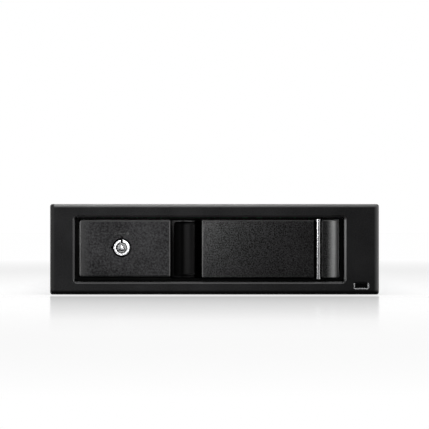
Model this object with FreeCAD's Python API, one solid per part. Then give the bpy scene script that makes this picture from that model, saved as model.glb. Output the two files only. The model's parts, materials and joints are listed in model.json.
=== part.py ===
"""Hot swap drive cage for one 3.5 inch drive in a 5.25 inch half-height bay.

Millimetres, +X to the right seen from the front, +Z up. While the pieces are made, Y is the depth
behind the front face of the bezel. save() then moves every piece so that the origin lies below the
middle of the whole cage, at the height of its underside.

The sizes run from the drive outwards: the tray fits the drive, the body fits the tray, and the
bezel covers the body.
"""
import FreeCAD, Part
import math
import os

# ---------------------------------------------------------------- drive and tray pan
drive_width = 101.6
drive_length = 147.0
drive_height = 26.1
drive_front = 22.0           # depth of the drive's front end
drive_gap = 0.3              # beside the drive
drive_top_gap = 1.35         # over the drive, in the bezel's opening
drive_hole_span = 95.25
drive_hole_pitch = 44.45
drive_hole_first = 61.27     # from the drive's front end
drive_hole = 3.6
pan_steel = 1.0
pan_rise = 0.1               # of the pan over the underside of the tray front
pan_side_height = 21.7
pan_front = 19.0
pan_rear_cut = 3.0           # how much shorter than the drive the pan ends
pan_front_height = 19.0
pan_bend = 1.4
pan_vent_rows = 6
pan_window_sill = 5.0        # below and above the window in the pan's front wall
pan_window_lintel = 4.0
sheet_thickness = 0.2
sheet_inset = 3.0
runner_width = 3.3
runner_height = 6.0
runner_gap = 0.35            # round a runner in its rail
runner_rivet_inset = 22.0    # from each end of the pan
runner_rivet_skin = 0.8      # of nylon beyond a rivet

# ---------------------------------------------------------------- steel body
steel = 1.0                  # wall of the chassis, flange and rear plate
cover_steel = 0.8
left_space = 14.35           # between the runners and the side walls
right_space = 18.85
upper_space = 5.45           # between the bezel's opening and the top of the lid
body_bend = 1.2              # outer radius of the chassis bends
top_flange = 7.0             # width of the chassis flanges that carry the cover
side_gap = 0.1               # between the chassis and the plates that stand in it
flange_depth = 12.0          # front face of the steel flange behind the bezel
ear_length = 10.0            # folded ears of the flange and the rear plate
ear_bottom = 4.0
ear_drop = 3.6               # of the ears' top end below the chassis
mount_first = 52.3           # from the back of the bezel's rim to the first mounting hole
mount_pitch = 79.25
mount_low = 10.0
mount_rise = 11.84
mount_span = 139.7           # between the two rows in the floor
mount_hole = 3.0
rivet_diameter = 2.5
rivet_head = 4.2
rivet_head_height = 0.5
rivet_levels = (10.0, 30.0)
rear_screw_levels = (12.0, 28.0)
vent_length = 18.0
vent_width = 2.6
vent_pitch_x = 24.0
vent_pitch_y = 8.0
vent_columns = 5
cover_vent_rows = 9
floor_vent_rows = 4
vent_first = 70.0
rear_vent_length = 14.4
rear_vent_pitch = 19.2
rear_vent_rows = 2
rear_vent_rise = 5.0
rear_vent_drop = 10.6        # of the upper row below the top of the chassis

# ---------------------------------------------------------------- bezel
bezel_overhang = 1.5         # over each side of the body
bezel_rise = 0.6             # over the lid
bezel_rim_depth = 5.0        # how far the bezel's rim reaches back to the body
bezel_face_wall = 2.4
bezel_side_wall = 2.6
bezel_level_wall = 1.6       # its upper and lower rim
bezel_corner = 1.2
bezel_edge_round = 0.7
opening_bottom = 5.85
opening_margin = 5.6         # beyond each runner
opening_corner = 1.0
opening_chamfer = 0.95
tunnel_wall = 1.3
window_inset = 5.5           # of the light window, from the side wall of the body
window_z = 4.05
window_width = 5.4
window_height = 1.8
window_corner = 0.35
window_chamfer = 0.93
boss_diameter = 6.0
boss_floor = 1.0
bezel_screw_inset = 4.0      # from the side walls of the body
bezel_screw_low = 8.0
bezel_screw_drop = 8.0       # of the upper screws below the top of the bezel
bezel_screw_over_window = 12.0

# ---------------------------------------------------------------- screws
screw_diameter = 2.9
screw_hole = 3.0
clear_hole = 3.4
pan_head = 5.4
pan_head_top = 4.2
pan_head_height = 1.7
flat_head = 5.6
flat_head_height = 1.3
cover_screw_length = 3.2

# ---------------------------------------------------------------- tray front
front_gap = 0.35             # round the tray front in the bezel's opening
frame_recess = 2.5           # depth of the tray front's edge
frame_side_wall = 1.3
frame_top_wall = 0.6
frame_bottom_wall = 1.1
frame_back_wall = 2.0
frame_flange_gap = 0.4       # between the tray front and the flange
frame_corner = 1.0
face_depth = 0.4             # depth of the plates' faces
edge_round = 0.35
plate_edge = 0.5             # bevel round the lock plate
seat_gap = 0.2               # between a plate and its pocket
part_gap = 0.15              # between neighbouring pieces of the tray's face
post_diameter = 5.5
post_side_inset = 5.35       # of the left post from the side of the pan
post_cam_gap = 0.85          # of the second from the tip of the lock's arm
post_pin_reach = 9.1         # of the right ones from the pin
post_rise = 4.3
post_drop = 2.9

# ---------------------------------------------------------------- lock plate and lock
lock_plate_inset = 1.45      # from the edge of the tray front
lock_plate_rise = 0.9
lock_plate_corner = 1.9
lock_plate_round = 1.4       # soft left edge
lock_plate_wall = 1.8
lock_plate_skirt = 1.2
lock_pocket_floor = 6.5
lock_from_way = 12.8         # from the lock to the side of the flange's opening
lock_offset = 0.2            # over the middle of its plate
lock_hole = 8.7
lock_notch_width = 1.1
lock_notch_reach = 5.15
lock_side_notch_reach = 4.8
collar_diameter = 7.5
collar_bore = 5.3
collar_gap = 0.05
collar_recess = 0.1
collar_length = 12.8
collar_top_notch = 1.6
collar_side_notch = 0.8
collar_notch_wall = 0.5
lock_boss = 12.0
nut_width = 10.0
nut_height = 1.5
spindle_gap = 0.05
spindle_recess = 0.3
post_face = 4.7              # centre post inside the key's ring slot
key_slot_depth = 5.0
spindle_flat = 3.4
mark_width = 2.7
mark_height = 1.9
mark_relief = 0.15
cam_gap = 0.3
cam_thickness = 1.5
cam_hub = 8.0
cam_tip_width = 6.0
cam_tip_round = 1.5
cam_reach = 15.6
cam_screw_shank = 1.9
cam_screw_length = 2.6
cam_screw_hole = 4.0         # its depth below the end of the lock's body

# ---------------------------------------------------------------- scoop and lever
scoop_gap = 0.5              # over and under the scoop
scoop_width = 14.0           # open width
scoop_under = 9.9            # how far the scoop reaches under the lever
scoop_face = 0.7
scoop_back = 9.3
scoop_wall = 0.9
scoop_radius = 9.5
scoop_floor = 7.4
scoop_right_round = 2.0
scoop_end_round = 1.3
scoop_end_wall = 0.4         # over and under the hollow
lever_reach = 52.8           # from the lever's left edge to the pin
lever_thickness = 3.2
lever_rim = 1.8
lever_bevel = 0.45
lever_edge = 0.6             # round of the lever's left edge
lever_skin = 1.7
lever_ribs = 3
lever_rib_width = 1.2
pin_from_edge = 11.65        # from the pin to the edge of the opening
pin_depth = 2.4
pin_diameter = 2.8
pin_gap = 0.05
pin_end_gap = 0.2
barrel_diameter = 5.6
barrel_left_round = 1.2
barrel_right_round = 1.0
heel_reach = 9.1             # from the pin to the heel's tip
heel_bulge = 9.0             # radius of the heel's round face
heel_shoulder = 6.0
heel_edge = 3.0
heel_back_reach = 7.5
heel_back = 6.2
heel_corner = 0.6
lever_clear = 0.3
ear_half = 2.85
pin_ear_front = 0.7
pin_ear_back = 6.0
pin_ear_round = 1.1
heel_bay_reach = 4.1         # of the bay left of the pin
hook_width = 8.0
hook_stem = 1.2
hook_bulb = 2.4
hook_tip = 7.6
catch_steel = 0.4
catch_gap = 0.3
catch_front = 5.2
catch_half = 2.6
catch_neck = 1.6             # from the catch's mouth to its grip
catch_flare = 0.9
spring_from_pin = 27.1
spring_bend_reach = 7.0
spring_tip_reach = 15.0
spring_tip_length = 3.0
spring_tip_fall = 1.6
spring_steel = 0.4
spring_bend_round = 3.0
spring_tip_round = 1.4
spring_width = 7.0

# ---------------------------------------------------------------- rails, springs and light pipe
rail_front = 22.4
rail_wall = 2.0
rail_web_bottom = 7.0
rail_web_height = 15.4
rail_lip = 2.2
rail_screw_inset = 12.8      # from each end of a rail
rail_screw_length = 9.0
rail_window = 4.5            # width of the cut-outs round the mounting screws
finger_steel = 0.3
finger_base = 6.5
finger_length = 14.0
finger_bottom = 19.0
finger_width = 7.0
finger_bow = 4.0
finger_set_back = 1.2
finger_root = 2.0
finger_touch_gap = 0.3
pipe_width = 5.0
pipe_height = 1.6
pipe_corner = 0.3
pipe_front = 1.5
pipe_foot = 3.0
pipe_foot_width = 3.0
pipe_foot_count = 3
pipe_foot_first = 32.0
pipe_foot_pitch = 60.0
pipe_hole_gap = 0.35

# ---------------------------------------------------------------- backplane
connector_gap = 0.4          # behind the drive
connector_length = 6.6
connector_rise = 0.9         # over the drive's underside
connector_x = -19.0
connector_width = 44.0
connector_height = 7.0
connector_corner = 0.8
slot_height = 2.4
slot_key = 1.6
slot_depth = 5.2
signal_slot = 11.2
power_slot = 21.4
slot_spacing = 4.6
board_thickness = 1.6
board_side_gap = 1.6
board_rise = 0.6
board_drop = 2.2
board_corner = 1.0
board_post_length = 8.4
board_post_left = 10.4       # from the edges of the board
board_post_right = 16.4
board_post_low = 6.4
board_post_drop = 5.4
board_post_width = 5.5
board_window_left = -6.0
board_window_width = 50.0
board_window_height = 13.0
board_window_drop = 3.4
board_window_corner = 2.0
data_x = -30.0
data_width = 14.6
data_height = 6.4
power_x = 22.0
power_width = 23.0
power_height = 8.8
port_z = 14.0
port_wall = 1.0
port_floor = 2.0
port_gap = 0.4
port_corner = 0.8
port_reach = 3.0             # of the ports out of the rear plate
tongue_thickness = 1.2
tongue_inset = 2.0
power_pins_count = 4
power_pin = 2.1
power_pin_pitch = 5.08
power_pin_recess = 2.0
chip_size = 12.0
chip_height = 1.4
chip_bevel = 0.35
chip_x = 20.0
chip_z = 11.0
capacitor_diameter = 6.3
capacitor_height = 6.4
capacitor_bevel = 0.5
capacitor_spots = [(36.0, 9.0), (44.0, 9.0)]
lamp_width = 2.2
lamp_height = 1.6
lamp_length = 1.9
lamp_bevel = 0.3
lamp_spacing = 2.6

# ---------------------------------------------------------------- worked out from the above
# depth
pan_rear = drive_front + drive_length - pan_rear_cut
connector_front = drive_front + drive_length + connector_gap
board_depth = connector_front + connector_length
board_back = board_depth + board_thickness
rear_inner = board_back + board_post_length
body_rear = rear_inner + steel
overall_depth = body_rear + port_reach
mount_depths = (bezel_rim_depth + mount_first, bezel_rim_depth + mount_first + mount_pitch)
frame_back = flange_depth - frame_flange_gap
back_wall_face = frame_back - frame_back_wall
lever_back = face_depth + lever_thickness
collar_front = face_depth + collar_recess
collar_back = collar_front + collar_length
cam_front = collar_back + cam_gap
cam_back = cam_front + cam_thickness
pipe_back = board_depth - lamp_length - pipe_hole_gap
rail_screw_depths = (rail_front + rail_screw_inset, pan_rear - rail_screw_inset)
flange_rivet_depth = flange_depth + steel + ear_length / 2
rear_screw_depth = rear_inner - ear_length / 2

# width
tray_x = (left_space - right_space) / 2
pan_half = drive_width / 2 + drive_gap + pan_steel
pan_left = tray_x - pan_half
pan_right = tray_x + pan_half
runner_half = pan_half + runner_width
runner_left = tray_x - runner_half
runner_right = tray_x + runner_half
inner_half = runner_half + (left_space + right_space) / 2
body_half = inner_half + steel
body_width = body_half * 2
bezel_width = body_width + bezel_overhang * 2
plate_half = inner_half - side_gap
opening_left = runner_left - opening_margin
opening_right = runner_right + opening_margin
frame_left = opening_left + front_gap
frame_right = opening_right - front_gap
way_left = pan_left - runner_gap - side_gap     # sides of the flange's opening above the runners
way_right = pan_right + runner_gap + side_gap
lock_plate_left = frame_left + lock_plate_inset
pin_x = opening_right - pin_from_edge
lever_left = pin_x - lever_reach
scoop_mouth = lever_left - part_gap
scoop_end = scoop_mouth + scoop_under
scoop_left = scoop_mouth - scoop_width
lock_plate_right = scoop_left - part_gap
lock_x = way_left + lock_from_way
heel_right = pin_x + heel_reach
heel_bay_left = pin_x - heel_bay_reach
spring_left = pin_x - spring_from_pin
hook_x = (scoop_end + spring_left) / 2
window_x = inner_half - window_inset
board_half_width = inner_half - board_side_gap
pin_bore = pin_diameter + 2 * pin_gap
collar_hole = collar_diameter + 2 * collar_gap
spindle_core = collar_bore - 2 * spindle_gap

# height
frame_bottom = opening_bottom + front_gap
pan_bottom = frame_bottom + pan_rise
pan_top = pan_bottom + pan_side_height
runner_top = pan_bottom + runner_height
drive_bottom = pan_bottom + pan_steel + sheet_thickness
opening_top = drive_bottom + drive_height + drive_top_gap
frame_top = opening_top - front_gap
frame_inner_top = frame_top - frame_top_wall
frame_inner_bottom = frame_bottom + frame_bottom_wall
body_height = opening_top + upper_space
chassis_top = body_height - cover_steel
flange_top = chassis_top - steel - side_gap
ear_top = chassis_top - ear_drop
bezel_height = body_height + bezel_rise
mount_levels = (mount_low, mount_low + mount_rise)
lock_plate_bottom = frame_inner_bottom + lock_plate_rise
lock_plate_top = frame_inner_top - seat_gap
lock_z = (lock_plate_bottom + lock_plate_top) / 2 + lock_offset
scoop_bottom = frame_inner_bottom + scoop_gap
scoop_top = frame_inner_top - scoop_gap
lever_bottom = frame_inner_bottom + seat_gap
lever_top = frame_inner_top - seat_gap
lever_middle = (lever_bottom + lever_top) / 2
hook_z = lever_middle
pin_bottom = frame_bottom + frame_bottom_wall / 4
pipe_bottom = window_z - pipe_height / 2
pipe_top = window_z + pipe_height / 2
rail_web_top = rail_web_bottom + rail_web_height
rail_screw_level = runner_top + runner_gap + rail_lip / 2
board_bottom = steel + board_rise
board_top = chassis_top - steel - board_drop
connector_bottom = drive_bottom + connector_rise

# places of what repeats
vent_left = -vent_pitch_x * (vent_columns - 1) / 2
bezel_screw_x = inner_half - bezel_screw_inset
bezel_screw_high = bezel_height - bezel_screw_drop
bezel_screw_spots = [(-bezel_screw_x, bezel_screw_low), (-bezel_screw_x, bezel_screw_high),
                     (bezel_screw_x, bezel_screw_high), (window_x, bezel_screw_over_window)]
post_low = pan_bottom + post_rise
post_high = pan_bottom + pan_front_height - post_drop
lock_post_x = lock_x + cam_reach + post_cam_gap + post_diameter / 2
post_spots = [(pan_left + post_side_inset, post_low), (lock_post_x, post_high),
              (pin_x - post_pin_reach, post_low), (pin_x - post_pin_reach, post_high)]
board_post_spots = [(x, z) for x in (-board_half_width + board_post_left,
                                     board_half_width - board_post_right)
                    for z in (board_bottom + board_post_low, board_top - board_post_drop)]

DEPTH = "depth"
ACROSS = "across"
UP = "up"
EASE = 1.0                   # how far a cutter runs past the face that it opens


# ---------------------------------------------------------------- shape helpers
def block(x0, x1, y0, y1, z0, z1):
    """Solid box between the given limits."""
    corner = FreeCAD.Vector(x0, y0, z0)
    return Part.makeBox(x1 - x0, y1 - y0, z1 - z0, corner)


def rod(diameter, start, length, way=DEPTH):
    """Round rod from start (x, y, z), along the depth, across or up."""
    ways = {DEPTH: (0, 1, 0), ACROSS: (1, 0, 0), UP: (0, 0, 1)}
    axis = FreeCAD.Vector(*ways[way])
    return Part.makeCylinder(diameter / 2, length, FreeCAD.Vector(*start), axis)


def placed(u, v, level, way):
    """Point of an outline whose solid is drawn along the given way."""
    if way == DEPTH:
        return FreeCAD.Vector(u, level, v)
    if way == UP:
        return FreeCAD.Vector(u, v, level)
    return FreeCAD.Vector(level, u, v)


def outline_edges(corners, level, way):
    """Edges of a closed outline; a corner (u, v, radius) is rounded by its radius."""
    corners = [tuple(corner) + (0.0,) * (3 - len(corner)) for corner in corners]
    stops = []
    for index, (u, v, radius) in enumerate(corners):
        before = corners[index - 1]
        after = corners[(index + 1) % len(corners)]
        back = math.hypot(before[0] - u, before[1] - v)
        ahead = math.hypot(after[0] - u, after[1] - v)
        back_u, back_v = (before[0] - u) / back, (before[1] - v) / back
        ahead_u, ahead_v = (after[0] - u) / ahead, (after[1] - v) / ahead
        if radius <= 0:
            stops.append(((u, v), None, (u, v)))
            continue
        half = math.acos(back_u * ahead_u + back_v * ahead_v) / 2
        run = radius / math.tan(half)
        middle = math.hypot(back_u + ahead_u, back_v + ahead_v)
        reach = radius / math.sin(half) - radius
        top = (u + (back_u + ahead_u) / middle * reach, v + (back_v + ahead_v) / middle * reach)
        start = (u + back_u * run, v + back_v * run)
        end = (u + ahead_u * run, v + ahead_v * run)
        stops.append((start, top, end))
    edges = []
    for index, (start, top, end) in enumerate(stops):
        if top:
            spots = [placed(u, v, level, way) for u, v in (start, top, end)]
            edges.append(Part.Arc(*spots).toShape())
        after = stops[(index + 1) % len(stops)][0]
        if math.hypot(after[0] - end[0], after[1] - end[1]) > 1e-6:
            run_start = placed(*end, level, way)
            run_end = placed(*after, level, way)
            edges.append(Part.makeLine(run_start, run_end))
    return edges


def drawn(corners, low, high, way=DEPTH):
    """Solid drawn from an outline between two levels along a way."""
    face = Part.Face(Part.Wire(outline_edges(corners, low, way)))
    origin = placed(0, 0, 0, way)
    return face.extrude(placed(0, 0, high - low, way) - origin)


def rounded_panel(x0, x1, z0, z1, y0, y1, radius):
    """Panel facing the front, with its four corners rounded."""
    corners = [(x0, z0, radius), (x1, z0, radius), (x1, z1, radius), (x0, z1, radius)]
    return drawn(corners, y0, y1)


def near(value, target):
    """True where a value lies on the target."""
    return abs(value - target) < 1e-4


def flat_edges_at(shape, depth, test=None):
    """Edges that lie wholly at one depth and pass the test."""
    chosen = []
    for edge in shape.Edges:
        box = edge.BoundBox
        if near(box.YMin, depth) and near(box.YMax, depth) and (test is None or test(box.Center)):
            chosen.append(edge)
    return chosen


def slots(first_x, rows, z0, z1, columns=vent_columns):
    """Grid of vent slots that go down through a level sheet."""
    made = []
    for column in range(columns):
        for row in range(rows):
            x = first_x + column * vent_pitch_x
            y = vent_first + row * vent_pitch_y
            made.append(block(x - vent_length / 2, x + vent_length / 2,
                              y - vent_width / 2, y + vent_width / 2, z0, z1))
    return made


def flat_screw(head, direction, length, shank=screw_diameter):
    """Countersunk screw whose flat head lies at head and which points along direction."""
    axis = FreeCAD.Vector(*direction)
    start = FreeCAD.Vector(*head)
    cone = Part.makeCone(flat_head / 2, shank / 2, flat_head_height, start, axis)
    return cone.fuse(Part.makeCylinder(shank / 2, length, start, axis)).removeSplitter()


def pan_screw(seat, direction, length, shank=screw_diameter):
    """Pan-head screw whose head stands on seat and whose shank points along direction."""
    axis = FreeCAD.Vector(*direction)
    start = FreeCAD.Vector(*seat)
    back = start - axis * pan_head_height
    head = Part.makeCone(pan_head_top / 2, pan_head / 2, pan_head_height, back, axis)
    return head.fuse(Part.makeCylinder(shank / 2, length, start, axis)).removeSplitter()


def low_head_fastener(side, depth, level, shank, reach):
    """Fastener through a side wall of the body, with a low round head outside."""
    x = side * body_half
    axis = FreeCAD.Vector(side, 0, 0)
    face = FreeCAD.Vector(x, depth, level)
    head = Part.makeCylinder(rivet_head / 2, rivet_head_height, face, axis)
    stem = Part.makeCylinder(shank / 2, reach, face, axis * -1)
    return head.fuse(stem).removeSplitter()


def hexagon(width, x, z, y0, y1):
    """Six-sided bar along the depth, width across its flats."""
    reach = width / math.sqrt(3)
    corners = []
    for step in range(6):
        angle = math.radians(60 * step)
        corners.append((x + reach * math.cos(angle), z + reach * math.sin(angle)))
    return drawn(corners, y0, y1)


# ---------------------------------------------------------------- cage
def front_bezel():
    """Moulded front: shell with a tunnel round the tray, the light window and screw bosses."""
    half = bezel_width / 2
    shell = rounded_panel(-half, half, 0, bezel_height, 0, bezel_rim_depth, bezel_corner)
    shell = shell.makeFillet(bezel_edge_round, flat_edges_at(shell, 0))
    hollow = block(-half + bezel_side_wall, half - bezel_side_wall, bezel_face_wall,
                   bezel_rim_depth, bezel_level_wall, bezel_height - bezel_level_wall)
    tunnel = rounded_panel(opening_left - tunnel_wall, opening_right + tunnel_wall,
                           opening_bottom - tunnel_wall, opening_top + tunnel_wall,
                           bezel_face_wall, flange_depth, opening_corner + tunnel_wall)
    bosses = [rod(boss_diameter, (x, bezel_face_wall, z), flange_depth - bezel_face_wall)
              for x, z in bezel_screw_spots]
    pilots = [rod(screw_hole, (x, bezel_face_wall + boss_floor, z), flange_depth)
              for x, z in bezel_screw_spots]
    opening = rounded_panel(opening_left, opening_right, opening_bottom, opening_top,
                            -EASE, flange_depth + EASE, opening_corner)
    half_window = window_width / 2
    window = rounded_panel(window_x - half_window, window_x + half_window,
                           window_z - window_height / 2, window_z + window_height / 2,
                           -EASE, bezel_rim_depth, window_corner)
    bezel = shell.cut(hollow).multiFuse([tunnel] + bosses).cut([opening, window] + pilots)

    def round_opening(centre):
        return abs(centre.x - tray_x) < (opening_right - opening_left) / 2 + 1e-3

    def round_window(centre):
        return abs(centre.x - window_x) < window_width and centre.z > bezel_edge_round

    inside = flat_edges_at(bezel, 0, lambda centre: opening_bottom - 1e-3 < centre.z
                           < opening_top + 1e-3 and round_opening(centre))
    bezel = bezel.makeChamfer(opening_chamfer, inside)
    rim = flat_edges_at(bezel, 0, lambda centre: round_window(centre)
                        and centre.z < window_z + window_height)
    return bezel.makeChamfer(window_chamfer, rim)


def eared_plate(depth, ears_to, bottom, top):
    """Upright steel plate across the chassis, with two ears folded along the side walls."""
    outer = body_bend
    inner = body_bend - steel
    near_face, far_face = (depth, depth + steel) if ears_to > depth else (depth + steel, depth)
    corners = [
        (-plate_half, ears_to), (-plate_half, near_face, outer), (plate_half, near_face, outer),
        (plate_half, ears_to), (plate_half - steel, ears_to), (plate_half - steel, far_face, inner),
        (-plate_half + steel, far_face, inner), (-plate_half + steel, ears_to),
    ]
    plate = drawn(corners, bottom, top, UP)
    beyond = ears_to + (EASE if ears_to > depth else -EASE)
    y0, y1 = min(far_face, beyond), max(far_face, beyond)
    trims = []
    for side in (-1, 1):
        x0, x1 = sorted((side * (plate_half - steel - inner), side * body_half))
        trims.append(block(x0, x1, y0, y1, bottom - EASE, ear_bottom))
        trims.append(block(x0, x1, y0, y1, ear_top, top + EASE))
    return plate.cut(trims)


def front_flange():
    """Steel flange that the tray front stops at and that the lever's heel pushes on."""
    flange = eared_plate(flange_depth, flange_depth + ear_length, steel, flange_top)
    y0, y1 = flange_depth - EASE, flange_depth + steel + EASE
    low = pan_bottom - runner_gap
    runner_way = block(runner_left - runner_gap, runner_right + runner_gap, y0, y1,
                       low, runner_top + runner_gap)
    tray_way = rounded_panel(way_left, way_right, low, opening_top, y0, y1, opening_corner)
    half = pipe_width / 2 + pipe_hole_gap
    pipe_way = block(window_x - half, window_x + half, y0, y1,
                     pipe_bottom - pipe_hole_gap, pipe_top + pipe_hole_gap)
    holes = [rod(clear_hole, (x, y0, z), y1 - y0) for x, z in bezel_screw_spots]
    rivets = [rod(rivet_diameter, (-body_half, flange_rivet_depth, z), body_width, ACROSS)
              for z in rivet_levels]
    return flange.cut([runner_way, tray_way, pipe_way] + holes + rivets)


def side_screw_cutters():
    """Countersinks of the rail screws, from both sides."""
    cutters = []
    for side in (-1, 1):
        for depth in rail_screw_depths:
            head = (side * body_half, depth, rail_screw_level)
            cutters.append(flat_screw(head, (-side, 0, 0), rail_screw_length + EASE, screw_hole))
    return cutters


def cover_screw_spots():
    """Places of the six cover screws, in the middle of the chassis flanges."""
    x = body_half - top_flange / 2
    middle = (bezel_rim_depth + body_rear) / 2
    depths = (bezel_rim_depth + ear_length, middle, body_rear - ear_length)
    return [(side * x, depth) for side in (-1, 1) for depth in depths]


def cover_screw_cutters():
    """Countersinks of the cover screws."""
    return [flat_screw((x, depth, body_height), (0, 0, -1), cover_screw_length, screw_hole)
            for x, depth in cover_screw_spots()]


def lower_chassis():
    """Folded floor and side walls with inward top flanges, mounting holes and vents."""
    inner_bend = body_bend - steel
    outside = rounded_panel(-body_half, body_half, 0, chassis_top, bezel_rim_depth, body_rear,
                            body_bend)
    inside = rounded_panel(-inner_half, inner_half, steel, chassis_top - steel,
                           bezel_rim_depth - EASE, body_rear + EASE, inner_bend)
    mouth_half = body_half - top_flange
    mouth = block(-mouth_half, mouth_half, bezel_rim_depth - EASE, body_rear + EASE,
                  chassis_top - steel - EASE, chassis_top + EASE)
    cutters = [inside, mouth] + side_screw_cutters() + cover_screw_cutters()
    across = body_width + 2 * EASE
    for depth in mount_depths:
        cutters += [rod(mount_hole, (-body_half - EASE, depth, z), across, ACROSS)
                    for z in mount_levels]
        cutters += [rod(mount_hole, (side * mount_span / 2, depth, -EASE), steel + 2 * EASE, UP)
                    for side in (-1, 1)]
    cutters += [rod(rivet_diameter, (-body_half - EASE, flange_rivet_depth, z), across, ACROSS)
                for z in rivet_levels]
    cutters += [rod(clear_hole, (-body_half - EASE, rear_screw_depth, z), across, ACROSS)
                for z in rear_screw_levels]
    return outside.cut(cutters + slots(vent_left, floor_vent_rows, -EASE, steel + EASE))


def top_cover():
    """Flat lid with vent slots and six countersunk holes."""
    corners = [(-body_half, bezel_rim_depth), (body_half, bezel_rim_depth),
               (body_half, body_rear, body_bend), (-body_half, body_rear, body_bend)]
    lid = drawn(corners, chassis_top, body_height, UP)
    vents = slots(vent_left, cover_vent_rows, chassis_top - EASE, body_height + EASE)
    return lid.cut(vents + cover_screw_cutters())


def rear_plate():
    """Steel back with ears, the two port cut-outs, vents and the holes of the board posts."""
    plate = eared_plate(rear_inner, rear_inner - ear_length + steel, steel, chassis_top - steel)
    y0, y1 = rear_inner - EASE, body_rear + EASE
    cutters = []
    for x, width, height in ((data_x, data_width, data_height),
                             (power_x, power_width, power_height)):
        cutters.append(block(x - width / 2 - port_gap, x + width / 2 + port_gap, y0, y1,
                             port_z - height / 2 - port_gap, port_z + height / 2 + port_gap))
    cutters += [rod(clear_hole, (x, y0, z), y1 - y0) for x, z in board_post_spots]
    cutters += [rod(screw_hole, (-body_half, rear_screw_depth, z), body_width, ACROSS)
                for z in rear_screw_levels]
    for column in range(vent_columns):
        x = (column - (vent_columns - 1) / 2) * rear_vent_pitch
        for row in range(rear_vent_rows):
            level = chassis_top - rear_vent_drop - row * rear_vent_rise
            cutters.append(block(x - rear_vent_length / 2, x + rear_vent_length / 2, y0, y1,
                                 level, level + vent_width))
    return plate.cut(cutters)


def backplane_board():
    """Circuit board across the back, with an air window and the holes of its posts."""
    board = rounded_panel(-board_half_width, board_half_width, board_bottom, board_top,
                          board_depth, board_back, board_corner)
    y0, y1 = board_depth - EASE, board_back + EASE
    window_top = board_top - board_window_drop
    air = rounded_panel(board_window_left, board_window_left + board_window_width,
                        window_top - board_window_height, window_top, y0, y1,
                        board_window_corner)
    holes = [rod(clear_hole, (x, y0, z), y1 - y0) for x, z in board_post_spots]
    return board.cut([air] + holes)


def board_posts():
    """Four six-sided posts between the board and the rear plate."""
    posts = []
    for x, z in board_post_spots:
        bar = hexagon(board_post_width, x, z, board_back, rear_inner)
        posts.append(bar.cut(rod(screw_hole, (x, board_back - EASE, z), rear_inner)))
    return posts


def board_screws():
    """Screws of the posts, four at the board and four at the rear plate."""
    half_post = board_post_length / 2 - seat_gap
    made = []
    for x, z in board_post_spots:
        made.append(pan_screw((x, board_depth, z), (0, 1, 0), board_thickness + half_post))
        made.append(pan_screw((x, body_rear, z), (0, -1, 0), steel + half_post))
    return made


def drive_connector():
    """Keyed socket that the drive plugs into, with a signal and a power slot."""
    left = connector_x - connector_width / 2
    front = connector_front
    body = rounded_panel(left, left + connector_width, connector_bottom,
                         connector_bottom + connector_height, front, board_depth,
                         connector_corner)
    middle = connector_bottom + connector_height / 2
    span = signal_slot + slot_spacing + power_slot
    signal_left = connector_x - span / 2
    power_left = signal_left + signal_slot + slot_spacing
    cutters = []
    for start, width in ((signal_left, signal_slot), (power_left, power_slot)):
        low, high = middle - slot_height / 2, middle + slot_height / 2
        cutters.append(block(start, start + width, front - EASE, front + slot_depth, low, high))
        cutters.append(block(start, start + slot_key, front - EASE, front + slot_depth,
                             low - slot_key, high))
    return body.cut(cutters)


def port_shroud(x, width, height):
    """Open rectangular shroud of a rear port."""
    outside = rounded_panel(x - width / 2, x + width / 2, port_z - height / 2,
                            port_z + height / 2, board_back, overall_depth, port_corner)
    inside = block(x - width / 2 + port_wall, x + width / 2 - port_wall, board_back + port_floor,
                   overall_depth + EASE, port_z - height / 2 + port_wall,
                   port_z + height / 2 - port_wall)
    return outside.cut(inside)


def data_port():
    """Rear data port: shroud with its keyed tongue."""
    left = data_x - data_width / 2 + tongue_inset
    right = data_x + data_width / 2 - tongue_inset
    y0 = board_back + port_wall
    y1 = overall_depth - port_wall
    half = tongue_thickness / 2
    tongue = block(left, right, y0, y1, port_z - half, port_z + half)
    key = block(left, left + tongue_thickness, y0, y1, port_z - 3 * half, port_z)
    return port_shroud(data_x, data_width, data_height).multiFuse([tongue, key]).removeSplitter()


def power_port():
    """Rear power port: shroud with two bevelled corners, which key the plug."""
    shroud = port_shroud(power_x, power_width, power_height)
    inner_half_width = power_width / 2 - port_wall
    inner_top = port_z + power_height / 2 - port_wall
    key_edges = []
    for edge in shroud.Edges:
        centre = edge.BoundBox.Center
        along = near(edge.BoundBox.YLength, overall_depth - board_back - port_floor)
        if along and near(abs(centre.x - power_x), inner_half_width) and near(centre.z, inner_top):
            key_edges.append(edge)
    return shroud.makeChamfer(port_wall, key_edges)


def power_pins():
    """Row of round pins of the power port."""
    pins = []
    end = overall_depth - power_pin_recess
    for index in range(power_pins_count):
        x = power_x + (index - (power_pins_count - 1) / 2) * power_pin_pitch
        start = (x, board_back + port_floor, port_z)
        pin = rod(power_pin, start, end - start[1])
        pins.append(pin.makeChamfer(power_pin / 4, flat_edges_at(pin, end)))
    return pins


def board_chip():
    """Flat controller chip on the front of the board."""
    half = chip_size / 2
    chip = block(chip_x - half, chip_x + half, board_depth - chip_height, board_depth,
                 chip_z - half, chip_z + half)
    return chip.makeChamfer(chip_bevel, flat_edges_at(chip, board_depth - chip_height))


def board_capacitors():
    """Two round capacitors beside the chip."""
    cans = []
    for x, z in capacitor_spots:
        can = rod(capacitor_diameter, (x, board_depth - capacitor_height, z), capacitor_height)
        rim = flat_edges_at(can, board_depth - capacitor_height)
        cans.append(can.makeChamfer(capacitor_bevel, rim))
    return cans


def status_lamps():
    """Two lamps on the board behind the end of the light pipe."""
    lamps = []
    for side in (-1, 1):
        x = window_x + side * lamp_spacing / 2
        lamp = block(x - lamp_width / 2, x + lamp_width / 2, board_depth - lamp_length,
                     board_depth, window_z - lamp_height / 2, window_z + lamp_height / 2)
        lamps.append(lamp.makeChamfer(lamp_bevel, flat_edges_at(lamp, board_depth - lamp_length)))
    return lamps


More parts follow.
